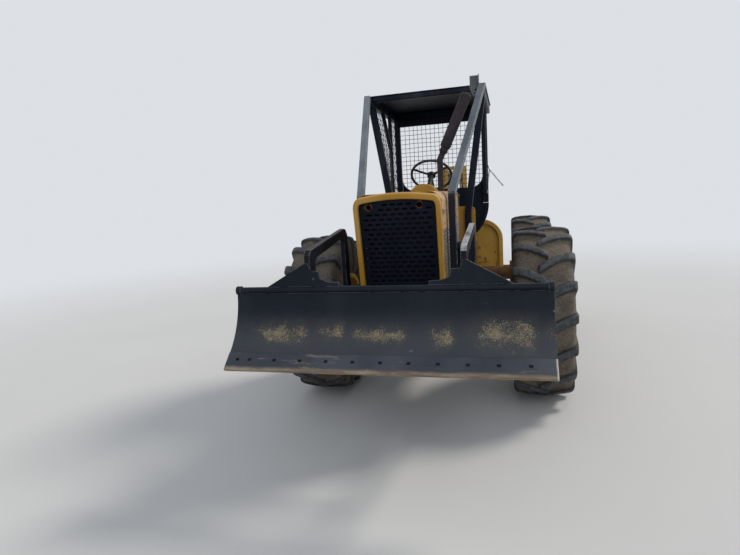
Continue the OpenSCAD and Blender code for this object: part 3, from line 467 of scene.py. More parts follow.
# Each ring's count, radius, x, width across flats and height of its nuts
nut_rings = {"wheel_nuts_": (12, 0.162, 0.823, 0.032, 0.026), "hub_bolts_": (8, 0.088, 0.899, 0.019, 0.011)}
for node in ("rim_fl", "rim_fr", "rim_rl", "rim_rr"):
    eased(node, rim_paint, 0.004)
    middle = middle_of(node)
    side = 1 if middle[0] > 0 else -1
    for name, (count, radius, x, across_flats, tall) in nut_rings.items():
        spots = circle(side * x, middle[1], middle[2], radius, count, 0.5)
        put_bolts(name + node[-2:], spots, (side, 0, 0), across_flats, tall, body_of[node], muddy_iron)


# Engine and its fittings
# A cast block with its rocker cover, sump, starter, filter and breather between the frame plates,
# seen under the side screens. Painted yellow once, now oily and dusty.
def lump(shape, kind, middle, size, turn=(0, 0, 0)):
    """Adds a box or an upright drum to a mesh: size is its width, depth and height."""
    place_it = Matrix.Translation(middle)
    for axis in (2, 1, 0):
        place_it = place_it @ Matrix.Rotation(turn[axis], 4, "XYZ"[axis])
    place_it = place_it @ Matrix.Diagonal((*size, 1))
    if kind == "box":
        bmesh.ops.create_cube(shape, size=1, matrix=place_it)
    else:
        bmesh.ops.create_cone(shape, cap_ends=True, segments=28, radius1=0.5, radius2=0.5, depth=1,
                              matrix=place_it)


def piece_of(name, parts, width, finish, body, slot, stands_for=(), segments=2):
    """One piece made of several boxes and drums, with their edges eased."""
    shape = bmesh.new()
    for part in parts:
        lump(shape, *part)
    return settle(ease(made_of(name, shape), width, segments), finish, body, slot, stands_for)


mid_y, quarter = 0.555, math.pi / 2


def at(x, y, z):
    """A place whose y is counted as in the part's source, which starts mid_y ahead of the middle."""
    return Vector((x, y - mid_y, z))


engine_iron = enamel("engine_iron", (0.26, 0.145, 0.024), (0.20, 0.12, 0.03),
                     (0.07, 0.045, 0.03), (0.105, 0.075, 0.05), 0.55, 0.85)
block_y = -0.68
# The block, sump, head and rocker cover, the flywheel housing, the gearbox and transfer case, and
# the shafts' flanges and the fan's pulley
engine_parts = [
    ("box", at(0, block_y, 1.055), (0.34, 0.72, 0.43)), ("box", at(0, block_y, 0.80), (0.30, 0.70, 0.08)),
    ("box", at(0, block_y, 1.32), (0.31, 0.70, 0.11)), ("box", at(0, block_y, 1.40), (0.20, 0.62, 0.06)),
    ("drum", at(0, -0.325, 1.06), (0.37, 0.37, 0.05), (quarter, 0, 0)),
    ("box", at(0, 0.27, 1.062), (0.30, 1.11, 0.25)), ("box", at(0, 0.475, 0.79), (0.22, 0.28, 0.29)),
    ("drum", at(0, 0.72, 0.74), (0.09, 0.09, 0.20), (quarter, 0, 0)),
    ("drum", at(0, 0.63, 0.74), (0.15, 0.15, 0.02), (quarter, 0, 0)),
    ("drum", at(0, -1.045, 1.02), (0.17, 0.17, 0.035), (quarter, 0, 0)),
]
# Ribs, core plugs and the gearbox's ribs on each side
for side in (-1, 1):
    engine_parts += [("box", at(side * 0.18, y, 1.07), (0.03, 0.02, 0.36))
                     for y in (-0.98, -0.85, -0.72, -0.59, -0.46, -0.37)]
    engine_parts += [("drum", at(side * 0.175, y, 1.30), (0.06, 0.06, 0.05), (0, quarter, 0))
                     for y in (-0.90, -0.77, -0.64, -0.51)]
    engine_parts += [("box", at(side * 0.153, y, 1.06), (0.02, 0.03, 0.22)) for y in (-0.15, 0.1, 0.35, 0.6)]
# The starter, filter, breather and pump at the sides, and the two caps on top
engine_parts += [
    ("drum", at(0.165, -0.47, 0.905), (0.07, 0.07, 0.20), (quarter, 0, 0)),
    ("drum", at(-0.16, -0.60, 0.93), (0.075, 0.075, 0.13)),
    ("drum", at(0.15, -0.86, 1.16), (0.09, 0.09, 0.12), (quarter, 0, 0)),
    ("box", at(-0.17, -0.82, 1.16), (0.055, 0.20, 0.09)),
    ("drum", at(0.06, -0.80, 1.425), (0.04, 0.04, 0.01)),
    ("drum", at(-0.05, -0.52, 1.425), (0.06, 0.06, 0.01)),
]
piece_of("engine_and_gearbox", engine_parts, 0.006, engine_iron, *in_place_of("power_unit"))


# Grille and hood
# A pressed hood with a thick rounded surround, and a slotted black grille sheet set back in it.
# Two lamp holes, rusted round their edges, are cut in the grille's upper corners.
lean = math.radians(8.5)
nose_y, nose_z = -1.13, 0.96
grille_foot = at(0, nose_y, nose_z)
grille_up = Vector((0, -math.sin(lean), math.cos(lean)))
grille_back = Vector((0, math.cos(lean), math.sin(lean)))


def thick_sheet(name, points, faces, thick, finish, body, slot, stands_for=(), width=0, rounds=1):
    """A surface thickened evenly to both sides, its edges eased where a width is given."""
    obj = surface(name, points, faces)
    solid = obj.modifiers.new("thickness", "SOLIDIFY")
    solid.thickness, solid.offset, solid.use_even_offset = thick, 0, False
    if width:
        ease(obj, width, rounds)
    return settle(obj, finish, body, slot, stands_for)


def cut_sheet(name, outline, holes, stand, thick, finish, body, slot, stands_for=(), width=0):
    """A flat sheet with holes in it. The outline and the holes are lists of (u, v), and stand turns
    (u, v) into a place."""
    flat, edges, ring_of = [], [], []
    for number, ring in enumerate([outline] + holes):
        first = len(flat)
        flat += [Vector(point) for point in ring]
        ring_of += [number] * len(ring)
        edges += [(first + k, first + (k + 1) % len(ring)) for k in range(len(ring))]
    points, _, faces, came_from, _, _ = delaunay_2d_cdt(flat, edges, [], 1, 1e-6)
    rings = [ring_of[old[0]] for old in came_from]
    # A triangle whose corners are all on one hole's ring lies in the hole
    faces = [face for face in faces if rings[face[0]] == 0 or len({rings[k] for k in face}) > 1]
    places = [stand(*point) for point in points]
    return thick_sheet(name, places, faces, thick, finish, body, slot, stands_for, width)


def oblong(u, v, wide, tall, corner=4):
    """A slot with round ends, or a round hole where wide and tall are the same."""
    radius, reach = tall / 2, (wide - tall) / 2
    return [(u + (reach if math.cos(a) > 0 else -reach) + radius * math.cos(a), v + radius * math.sin(a))
            for a in (math.pi * (k + 0.5) / corner - quarter for k in range(2 * corner))]


grille_tall, grille_half, surround_deep, crown_r = 0.8553, 0.295, 0.070, 1.45
band_side, band_top, band_foot = 0.034, 0.040, 0.060
rim_corner, sheet_corner, sheet_lap, sheet_ahead, sheet_thick = 0.09, 0.06, 0.004, 0.041, 0.003
sheet_half, sheet_top = grille_half - band_side, grille_tall - band_top


def grille_top(u, half, top, corner):
    """The height of an outline's top at u: a broad crown, rounded down at both corners."""
    shoulder = top - corner + math.sqrt(max(0, corner ** 2 - max(0, abs(u) - half + corner) ** 2))
    return min(shoulder, top - crown_r + math.sqrt(crown_r ** 2 - u * u))


def grille_outline(half, foot, top, corner):
    tops = [half * math.sin(quarter * k / 14) for k in range(14, -15, -1)]
    return [(-half, foot), (half, foot)] + [(u, grille_top(u, half, top, corner)) for u in tops]


def in_grille(u, v, ahead=sheet_ahead):
    return Vector((u, 0, 0)) + grille_foot + grille_up * v - grille_back * ahead


lamp_holes, lamp_hole, lamp_clear = ((-0.191, 0.768), (0.153, 0.771)), 0.036, 0.045
slot_rise, slot_run, slot_wide, slot_tall = 0.033, 0.054, 0.040, 0.0155
first_slot, side_clear, top_clear = 0.028, 0.022, 0.030
slots_cut = []
for row in range(23):
    v = band_foot + first_slot + row * slot_rise
    for column in range(-5, 6):
        u = (column + (0.5 if row % 2 else 0)) * slot_run
        inside = abs(u) + slot_wide / 2 < sheet_half - side_clear
        below = v < grille_top(u, sheet_half, sheet_top, sheet_corner) - top_clear
        clear = all(math.hypot(u - lamp_u, v - lamp_v) > lamp_clear for lamp_u, lamp_v in lamp_holes)
        if inside and below and clear:
            slots_cut.append(oblong(u, v, slot_wide, slot_tall))
slots_cut += [oblong(u, v, lamp_hole, lamp_hole, 10) for u, v in lamp_holes]

grille_black, shader, place = begin("grille_black")
rubbed = grain(place, 26, 6, 0.65)
rings = None
for u, v in lamp_holes:
    away = Wire.node("VectorMath", {"operation": "DISTANCE"}, {0: place, 1: in_grille(u, v)}, "Value")
    near = (away + rubbed * 0.05).fade(0.053, 0.044)
    rings = near if rings is None else rings.most(near)
film = grain(place, 5, 4, 0.6).fade(0.35, 0.7)
coat = tint(film, (0.0030, 0.0048, 0.0100), (0.0060, 0.0085, 0.0150))
rust = tint(rubbed.fade(0.4, 0.6), (0.13, 0.050, 0.019), (0.045, 0.020, 0.012))
feed(shader, Base_Color=tint(rings, coat, rust), Roughness=rings * 0.3 + (rubbed * 0.2 + 0.42),
     Specular_IOR_Level=0.1, Normal=relief(rubbed, 0.0006, 0.6))
sheet_outline = grille_outline(sheet_half + sheet_lap, band_foot - sheet_lap, sheet_top + sheet_lap,
                               sheet_corner)
cut_sheet("grille_slotted", sheet_outline, slots_cut, in_grille, sheet_thick, grille_black,
          *in_place_of("grille_panel"))
rim = grille_outline(grille_half, 0, grille_tall, rim_corner)
rim += grille_outline(sheet_half, band_foot, sheet_top, sheet_corner)
around = len(rim) // 2
band = [(k, (k + 1) % around, around + (k + 1) % around, around + k) for k in range(around)]
rim_places = [in_grille(u, v, surround_deep / 2) for u, v in rim]
thick_sheet("grille_surround", rim_places, band, surround_deep, yellow_paint,
            *in_place_of("grille_frame"), 0.013, 4)
feet = [("box", at(side * 0.230, -1.170, 0.936), (0.040, 0.040, 0.072)) for side in (-1, 1)]
piece_of("grille_feet", feet, 0.003, yellow_paint, "front", slots["grille_frame"])

# The hood is scratched on its left flank, where the paint has gone pale and pinkish. Further back the flank
# is painted darker brown, as painted shade
hood_paint, shader, place = begin("hood_paint")
streak = grain(place, 9, 6, 0.65, (1, 0.6, 3.2))
flank = place.part(0).fade(0.20, 0.275)
pale_coat = (flank * 0.30 + streak).fade(0.58, 0.72)
cloud = grain(place, 2.4, 4, 0.6).fade(0.35, 0.7)
fine = grain(place, 46, 6, 0.62)
scratch = (flank * 0.10 + grain(place, 15, 8, 0.7, (1, 0.35, 2.6), 0.4)).fade(0.66, 0.70)
coat = tint(cloud, (0.365, 0.175, 0.018), (0.440, 0.240, 0.045))
coat = tint(pale_coat * 0.7, coat, (0.42, 0.29, 0.19))
# Painted shade: the left flank is darkened to brown towards its back
behind = place.part(1).fade(-1.56, -1.46) * flank
coat = tint(behind * 0.5, coat, (0.190, 0.095, 0.020))
feed(shader, Base_Color=tint(scratch, coat, (0.15, 0.085, 0.06)),
     Roughness=pale_coat * 0.2 + (fine * 0.16 + 0.36), Specular_IOR_Level=0.25,
     Normal=relief(fine * 0.15 + cloud * 0.6 - scratch * 0.6, 0.0010, 0.7))
eased("hood", hood_paint, 0.002)
for name, side in (("right", -1), ("left", 1)):
    screws = [at(side * 0.2955, y, 1.585) for y in (-1.12, -0.72, -0.25)]
    put_bolts("hood_screws_" + name, screws, (side, 0, 0), 0.014, 0.006, "front", bare_steel)

# Perforated side screens, hung from the hood's lower edge
screen_grey, shader, place = begin("screen_grey")
wear = grain(place, 18, 6, 0.7).fade(0.44, 0.62)
feed(shader, Base_Color=tint(wear, (0.23, 0.225, 0.21), (0.10, 0.075, 0.055)), Metallic=0.35 - wear * 0.3,
     Roughness=wear * 0.25 + 0.45, Normal=relief(grain(place, 80, 4), 0.0006, 0.5))
screen_low, screen_high, screen_back, screen_out, screen_thick = 1.15, 1.54, -0.150 - mid_y, 0.2925, 0.003
hole_wide, hole_rise, hole_run, hole_clear = 0.0165, 0.0248, 0.0286, 0.022


def hood_front(z):
    return nose_y - mid_y - (z - nose_z) * math.tan(lean)


for name, side in (("left", 1), ("right", -1)):
    outline = [(hood_front(screen_low), screen_low), (screen_back, screen_low),
               (screen_back, screen_high), (hood_front(screen_high), screen_high)]
    holes = []
    for row in range(15):
        v = screen_low + hole_clear + row * hole_rise
        for column in range(36):
            u = screen_back - hole_clear - (column + (row % 2) * 0.5) * hole_run
            if u > hood_front(v) + hole_clear:
                holes.append(oblong(u, v, hole_wide, hole_wide, 3))
    cut_sheet("hood_screen_" + name, outline, holes, lambda u, v, x=side * screen_out: Vector((x, u, v)),
              screen_thick, screen_grey, *in_place_of("hood_screens"))
stay_size, stay_y = (0.040, 0.030, 0.64), (-0.885, -0.165)
stays = [("box", at(side * 0.270, y, 1.22), stay_size) for side in (-1, 1) for y in stay_y]
piece_of("screen_stays", stays, 0.003, black_paint, "front", slots["hood_screens"])


# Dash cowl, steering wheel and levers
# A domed yellow cowl behind the hood, a thin black wheel on a raked column, and the hand levers.
eased("dash_cowl", yellow_paint, 0.006, 3)
wheel_plastic, shader, place = begin("wheel_plastic")
feed(shader, Base_Color=tint(grain(place, 30, 5), (0.010, 0.010, 0.011), (0.020, 0.019, 0.018)),
     Roughness=grain(place, 60, 4) * 0.3 + 0.35)
eased("steering_wheel", wheel_plastic, 0.002)
eased("control_levers", black_paint, 0.003)
gauges = [("drum", at(x, 0.002, 1.70), (0.075, 0.075, 0.012), (quarter, 0, 0)) for x in (-0.11, 0, 0.11)]
piece_of("gauges", gauges, 0.003, wheel_plastic, "front", "black_plastic")


# Floor, guards and seat
# Flat plate floor and yellow shields beside the driver's feet. The seat has two stuffed pads of
# cracked black vinyl, sewn in three channels, on a plain steel box.
eased("floor_deck", frame_paint, 0.002)
eased("foot_guards", yellow_paint, 0.004)
eased("seat_box", black_paint, 0.004)


def cell_edge(place, scale):
    """The distance to the edges of cells, so many a metre."""
    values = {"Vector": place, "Scale": scale}
    return Wire.node("TexVoronoi", {"feature": "DISTANCE_TO_EDGE"}, values, "Distance")


vinyl, shader, place = begin("seat_vinyl")
pores = cell_edge(place, 260).fade(0.0, 0.12)
cracks = cell_edge(place, 21).fade(0.022, 0.006) * grain(place, 4, 4, 0.6).fade(0.50, 0.62)
rubbed = grain(place, 7, 5, 0.6).fade(0.4, 0.7)
black = tint(rubbed, (0.013, 0.013, 0.014), (0.042, 0.038, 0.034))
feed(shader, Base_Color=tint(cracks, black, (0.24, 0.19, 0.12)),
     Roughness=rubbed * 0.2 + (cracks * 0.3 + 0.40), Normal=relief(pores * 0.35 - cracks, 0.0012, 0.6))
pad_inset, pad_round, pad_grid, air, swell_steps, swell = 0.010, 0.022, 0.009, 4, 20, 0.016
seam_x, seam_deep, seam_wide, pad_margin = 0.078, 0.010, 0.009, 0.001


def settled_mesh(obj):
    """An object's mesh with its modifiers carried out."""
    return bpy.data.meshes.new_from_object(obj.evaluated_get(bpy.context.evaluated_depsgraph_get()))


def seat_pad(name, node, face):
    """A stuffed pad in the room of its node, puffed out by air and pinched along two seams. face is
    the axis that is sat on or leant on."""
    low, high = (Vector(corner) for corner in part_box(node))
    size = high - low - 2 * Vector((pad_inset, pad_inset, pad_inset))
    shape = bmesh.new()
    middle = Matrix.Translation((low + high) / 2)
    bmesh.ops.create_cube(shape, size=1, matrix=middle @ Matrix.Diagonal((*size, 1)))
    bmesh.ops.bevel(shape, geom=shape.edges[:], offset=pad_round, segments=3, profile=0.5, affect="EDGES")
    obj = made_of(name, shape)
    remesh = obj.modifiers.new("even_cloth", "REMESH")
    remesh.mode, remesh.voxel_size = "VOXEL", pad_grid
    bpy.context.view_layer.update()
    obj.data = settled_mesh(obj)
    obj.modifiers.clear()
    before = [vertex.co.copy() for vertex in obj.data.vertices]
    cloth = obj.modifiers.new("stuffing", "CLOTH")
    cloth.settings.use_pressure, cloth.settings.uniform_pressure_force = True, air
    cloth.settings.effector_weights.gravity = 0
    for step in range(1, swell_steps + 1):
        bpy.context.scene.frame_set(step)
    puffed = settled_mesh(obj)
    bpy.context.scene.frame_set(1)
    obj.modifiers.clear()
    obj.data = puffed
    for vertex, old in zip(obj.data.vertices, before):
        gone = vertex.co - old
        if gone.length > swell:
            vertex.co = old + gone * (swell / gone.length)
        for seam in (-seam_x, seam_x):
            pinch = seam_deep * math.exp(-((vertex.co.x - seam) / seam_wide) ** 2)
            vertex.co[face] += pinch if vertex.co[face] < (low + high)[face] / 2 else -pinch
        for axis in range(3):
            vertex.co[axis] = min(max(vertex.co[axis], low[axis] + pad_margin), high[axis] - pad_margin)
    obj.data.polygons.foreach_set("use_smooth", [True] * len(obj.data.polygons))
    obj.modifiers.new("even_curves", "SUBSURF").levels = 1
    settle(obj, vinyl, *in_place_of(node))


seat_pad("seat_pad", "seat_cushion", 2)
seat_pad("back_pad", "seat_back", 1)


# Canopy
# Posts and beams of square tube, welded to a round-bottomed back and a flat roof plate, all in
# the same brushed-on blue-black paint. A flat header over the back's opening carries its mesh.
canopy_paint = enamel("canopy_paint", (0.0030, 0.0055, 0.0125), (0.0060, 0.0100, 0.0190),
                      (0.05, 0.04, 0.04), (0.055, 0.055, 0.06), 0.18, 0.18, shine=0.12)
for node, width in (("cab_back", 0.003), ("canopy_roof", 0.005)):
    eased(node, canopy_paint, width, 3)
tube, beam_long, slim_beam, beam_deep = 0.060, 0.940, 0.044, 0.080
roof_under, roof_front, roof_back = 2.688, 0.120, 1.270
post_y, post_in, post_out, post_foot, post_head = 0.210, 0.350, 0.500, 1.600, 2.612
post_lean = math.atan2(post_out - post_in, post_head - post_foot)
post_long = math.hypot(post_out - post_in, post_head - post_foot)
back_post_y = 1.180
posts = [("box", at(0, roof_front + tube / 2, roof_under - slim_beam / 2), (beam_long, tube, slim_beam)),
         ("box", at(0, roof_back - tube / 2, roof_under - beam_deep / 2), (beam_long, tube, beam_deep))]
for side in (-1, 1):
    leaning = at(side * (post_in + post_out) / 2, post_y, (post_foot + post_head) / 2)
    side_beam = at(side * post_out, (roof_front + roof_back) / 2, roof_under - beam_deep / 2)
    posts += [("box", leaning, (tube, tube, post_long), (0, side * post_lean, 0)),
              ("box", at(side * post_in, post_y, 1.410), (tube, tube, 0.390)),
              ("box", at(side * 0.470, back_post_y, 2.140), (tube, tube, 0.944)),
              ("box", side_beam, (tube, roof_back - roof_front, beam_deep))]
piece_of("canopy_tubes", posts, 0.010, canopy_paint, *in_place_of("canopy_posts"), 3)
header = [("box", at(0, back_post_y, 2.575), (0.880, 0.040, 0.070))]
piece_of("screen_header", header, 0.004, canopy_paint, "front", slots["canopy_posts"])


# Wire screens
# Crimped square mesh of 5 mm wire, welded behind the back's opening and inside the side bars. The
# machine's right side is screened to the front post; the left is open there for the driver.
def tubes(name, routes, radius, finish, body, slot, stands_for=(), sides=6):
    """Round rods along routes, each a list of places."""
    points, faces = [], []
    for route in routes:
        route = [Vector(spot) for spot in route]
        first = len(points)
        for k, spot in enumerate(route):
            ahead = (route[min(k + 1, len(route) - 1)] - route[max(k - 1, 0)]).normalized()
            beside = ahead.cross(Vector((0.31, 0.52, 0.79))).normalized()
            above = beside.cross(ahead)
            for side in range(sides):
                angle = 2 * math.pi * side / sides
                points.append(spot + radius * (math.cos(angle) * beside + math.sin(angle) * above))
        for k in range(len(route) - 1):
            for side in range(sides):
                here, after = first + k * sides, (side + 1) % sides
                faces.append((here + side, here + after, here + sides + after, here + sides + side))
        last = first + (len(route) - 1) * sides
        faces += [tuple(range(first + sides - 1, first - 1, -1)), tuple(range(last, last + sides))]
    obj = surface(name, points, faces)
    obj.data.polygons.foreach_set("use_smooth", [len(face) == 4 for face in faces])
    return settle(obj, finish, body, slot, stands_for)


wire_r, wire_pitch, crimp, bent = 0.0025, 0.047, 0.0026, 0.0045


def woven(u_low, u_high, v_low, v_high, stand, reach_u=None, reach_v=None):
    """Routes of a crimped mesh's wires, a little bent out of line. reach_u and reach_v cut a wire
    short where the opening isn't square."""
    routes = []
    columns = int((u_high - u_low) / wire_pitch)
    rows = int((v_high - v_low) / wire_pitch)
    for upright, many, other in ((True, columns, rows), (False, rows, columns)):
        for k in range(1, many + 1):
            route = []
            for step in range(2 * other + 3):
                along, beside = step / 2 * wire_pitch, k * wire_pitch
                u, v = (u_low + beside, v_low + along) if upright else (u_low + along, v_low + beside)
                u, v = min(u, u_high), min(v, v_high)
                over = crimp * math.cos(math.pi * step / 2) * (1 if (k % 2) == upright else -1)
                stray = bent * smooth_noise(Vector((u * 5, v * 5, k * 1.7)))
                if (upright and reach_v and v > reach_v(u)) or (not upright and reach_u and u > reach_u(v)):
                    break
                route.append(stand(u + (stray if upright else 0), v + (0 if upright else stray), over))
            if len(route) > 1:
                routes.append(route)
    return routes


screen_wire, shader, place = begin("screen_wire")
feed(shader, Base_Color=tint(grain(place, 9, 5).fade(0.5, 0.7), (0.010, 0.012, 0.018), (0.05, 0.035, 0.028)),
     Metallic=0.1, Roughness=grain(place, 40, 4) * 0.3 + 0.35)
back_wire_y = 1.2142 - mid_y
back_wires = woven(-0.440, 0.440, 1.84, 2.606, lambda u, v, over: (u, back_wire_y + over, v))
tubes("rear_wire_screen", back_wires, wire_r, screen_wire, *in_place_of("rear_screen"))
bar_z, bar_x, bar_y, bar_w, slant_w, sill_r = 1.78, 0.480, 0.85, 0.036, 0.034, 0.017
screen_top, screen_front, rail_back = 2.6075, 0.243, 1.159
# The slanted bar's foot and head, as (y, z)
slant_foot, slant_head = (0.82, 2.29), (0.54, 2.602)
slant_run, slant_rise = slant_head[0] - slant_foot[0], slant_head[1] - slant_foot[1]


def skin_x(y, z):
    """How far out the front mesh is, between the leaning post and the upright bar."""
    post_x = post_in + (post_out - post_in) * (z - post_foot) / (post_head - post_foot)
    return post_x + (bar_x - post_x) * (y - post_y) / (bar_y - post_y)


def slant_y(z):
    """How far back the front mesh goes at a height: to the upright bar, or to the slanted one."""
    if z < slant_foot[1]:
        return bar_y - 0.016
    return slant_foot[0] + (z - slant_foot[1]) / slant_rise * slant_run


def slant_z(y):
    """How far up the front mesh goes at a place along the machine."""
    return min(slant_head[1], slant_head[1] + (y - slant_head[0]) / slant_run * slant_rise)


def front_skin(u, v, over):
    return (-skin_x(u, v) - over, u - mid_y, v)


for name, side in (("left", 1), ("right", -1)):
    routes = woven(0.86, 1.152, bar_z, screen_top,
                   lambda u, v, over, side=side: (side * (bar_x + 0.006 + over), u - mid_y, v))
    bar_low = bar_z - bar_w / 2
    upright_mid, rail_mid = (bar_low + screen_top) / 2, (bar_y + rail_back) / 2
    bars = [("box", at(side * bar_x, bar_y, upright_mid), (bar_w, bar_w, screen_top - bar_low)),
            ("box", at(side * bar_x, rail_mid, bar_z), (bar_w, rail_back - bar_y, bar_w))]
    if side < 0:
        routes += woven(screen_front, bar_y - 0.012, bar_z, screen_top, front_skin, slant_y, slant_z)
        sill = [at(-bar_x, bar_y - 0.01, bar_z), at(-skin_x(0.242, bar_z), 0.242, bar_z)]
        tubes("screen_sill", [sill], sill_r, canopy_paint, "front", slots["side_screens"], sides=16)
        middle = at(-bar_x, (slant_foot[0] + slant_head[0]) / 2, (slant_foot[1] + slant_head[1]) / 2)
        slant_long, slant_turn = math.hypot(slant_run, slant_rise), math.atan2(-slant_run, slant_rise)
        bars += [("box", middle, (slant_w, slant_w, slant_long), (slant_turn, 0, 0))]
    tubes("side_wire_screen_" + name, routes, wire_r, screen_wire, *in_place_of("side_screens"))
    piece_of("side_bars_" + name, bars, 0.004, canopy_paint, "front", slots["side_screens"])
# Thin bright rods, bent at the rear posts
bright_trim, shader, place = begin("bright_trim")
feed(shader, Base_Color=tint(grain(place, 20, 5).fade(0.5, 0.65), (0.72, 0.73, 0.74), (0.40, 0.38, 0.36)),
     Metallic=0.3, Roughness=0.45)
rod_y = 1.2
rods = [[at(0.490, rod_y, 2.09), at(0.517, rod_y, 2.016), at(0.655, rod_y, 1.835)],
        [at(0.517, rod_y, 2.016), at(0.488, rod_y, 1.84)],
        [at(-0.485, rod_y, 2.058), at(-0.558, rod_y, 1.94), at(-0.490, rod_y, 1.83)]]
tubes("flap_stays", rods, 0.008, bright_trim, "front", "bare_steel", sides=8)


# Limb risers
# Square tubes from the frame's nose up to the roof, bent at the hood, which push branches over
# the cab. Grey above the hood and blue-black below it; a drilled bracket stands on the left one.
riser_paint, shader, place = begin("riser_paint")
fine = grain(place, 50, 6, 0.62)
cloud = grain(place, 5, 5, 0.6, (1, 1, 0.4)).fade(0.35, 0.7)
lower = (place.part(2) + grain(place, 12, 4) * 0.06).fade(1.83, 1.79)
rubbed = (grain(place, 15, 8, 0.7) + edge_wear(0.008) * 0.18).fade(0.66, 0.69)
grey = tint(cloud, (0.100, 0.116, 0.130), (0.160, 0.175, 0.188))
# Painted shade: the left riser's grey is darkened a little
grey = tint(place.part(0).fade(0.1, 0.2) * 0.35, grey, (0.050, 0.058, 0.066))
coat = tint(lower, grey, (0.0075, 0.010, 0.017))
feed(shader, Base_Color=tint(rubbed * 0.8, coat, (0.36, 0.35, 0.33)),
     Roughness=fine * 0.2 + (cloud * 0.1 + 0.30), Specular_IOR_Level=0.2,
     Normal=relief(fine * 0.2 + cloud * 0.5 - rubbed * 0.5, 0.0010, 0.6))
eased("limb_risers", riser_paint, 0.012, 4)
eased("riser_bracket", riser_paint, 0.001)


# Exhaust
# A pipe out of the hood, clamped to a slanted muffler, both baked dark and rusting in patches.
burnt, shader, place = begin("burnt_steel")
scale = grain(place, 30, 8, 0.72)
rusty = grain(place, 9, 6, 0.65).fade(0.52, 0.75)
dark = tint(scale.fade(0.35, 0.65), (0.020, 0.018, 0.022), (0.044, 0.037, 0.041))
rust = tint(scale, (0.060, 0.036, 0.030), (0.032, 0.020, 0.018))
feed(shader, Base_Color=tint(rusty, dark, rust), Roughness=scale * 0.25 + 0.55, Metallic=0.15,
     Specular_IOR_Level=0.2, Normal=relief(scale, 0.0025, 0.8))
eased("exhaust_pipe", burnt, 0.001)
eased("muffler", burnt, 0.012, 4)
exhaust_lean = math.radians(25)
along_pipe = Vector((math.sin(exhaust_lean), 0, math.cos(exhaust_lean)))
across_pipe = Vector((math.cos(exhaust_lean), 0, -math.sin(exhaust_lean)))
bend = at(0.190, -0.420, 2.050)
# Each band's start and length along the pipe, and its radius
pipe_bands = {"muffler_neck": (0.060, 0.046, 0.031), "muffler_seam_low": (0.118, 0.012, 0.0435),
              "muffler_seam_high": (0.505, 0.012, 0.0435)}
for name, (start, length, radius) in pipe_bands.items():
    route = [bend + along_pipe * (start + length * k / 2) for k in range(3)]
    tubes(name, [route], radius, burnt, "front", slots["muffler"], sides=32)
clamp_up, clamp_r, clamp_wire_r, clamp_steps, aft = 0.074, 0.0345, 0.0045, 24, Vector((0, 1, 0))
clamp_angles = [2 * math.pi * k / clamp_steps for k in range(clamp_steps + 1)]
clamp = [bend + along_pipe * clamp_up + clamp_r * (math.cos(a) * across_pipe + math.sin(a) * aft)
         for a in clamp_angles]
tubes("muffler_clamp", [clamp], clamp_wire_r, burnt, "front", slots["muffler"])


# Blade
# A rolled plate with a tube along its top, ribs and channels behind, and a bolted cutting edge
# with square holes. Slate paint, speckled with tan where soil has scoured it between the ribs.
blade_paint, shader, place = begin("blade_paint")
side_in, up = place.part(0), place.part(2)
fine = grain(place, 60, 6, 0.65)
cloud = grain(place, 3.2, 5, 0.6).fade(0.35, 0.68)
bands = grain(place, 5, 4, 0.6, (1, 0.15, 0.12)).fade(0.45, 0.75)
# Painted shade: the slate is darkened towards the blade's top and lighter below
coat = tint(up.fade(0.92, 1.14), (0.053, 0.058, 0.067), (0.0065, 0.0100, 0.0165))
coat = tint(cloud * 0.22, coat, (0.021, 0.026, 0.036))
coat = tint(bands * 0.12, coat, (0.050, 0.056, 0.066))
# The scoured places: x from and to, middle height, half height
scoured_places = ((-0.80, -0.46, 0.988, 0.085), (-0.44, -0.24, 1.000, 0.070), (-0.20, 0.14, 0.978, 0.062),
                  (0.25, 0.41, 0.975, 0.080), (0.50, 0.85, 0.990, 0.115), (0.87, 0.95, 1.000, 0.070))
scoured = None
for left, right, middle, half in scoured_places:
    across_it = side_in.fade(left - 0.08, left + 0.10) * side_in.fade(right + 0.05, right - 0.04)
    patch = across_it * up.fade(middle - half * 1.2, middle) * up.fade(middle + half * 1.5, middle)
    scoured = patch if scoured is None else scoured.most(patch)
clusters, dots = grain(place, 14, 5, 0.6), grain(place, 130, 4, 0.7)
speckle = (scoured * 0.28 + clusters * 0.45 + dots * 0.80).fade(0.83, 0.94)
haze = scoured * 0.30 + (clusters - 0.4) * up.fade(1.14, 1.00) * 0.45
rubbed = (edge_wear(0.005) * 0.22 + grain(place, 15, 8, 0.7)).fade(0.67, 0.70)
tan = tint(fine.fade(0.35, 0.65), (0.30, 0.245, 0.150), (0.17, 0.135, 0.090))
coat = tint(speckle * 0.85, tint(haze, coat, (0.085, 0.076, 0.060)), tan)
coat = tint(rubbed * 0.7, coat, (0.22, 0.21, 0.20))
feed(shader, Base_Color=coat, Roughness=speckle * 0.3 + (fine * 0.18 + 0.38), Specular_IOR_Level=0.13,
     Normal=relief(fine * 0.4 + cloud * 0.6 + speckle * 0.5, 0.0012, 0.7))
eased("blade_plate", blade_paint, 0.003)

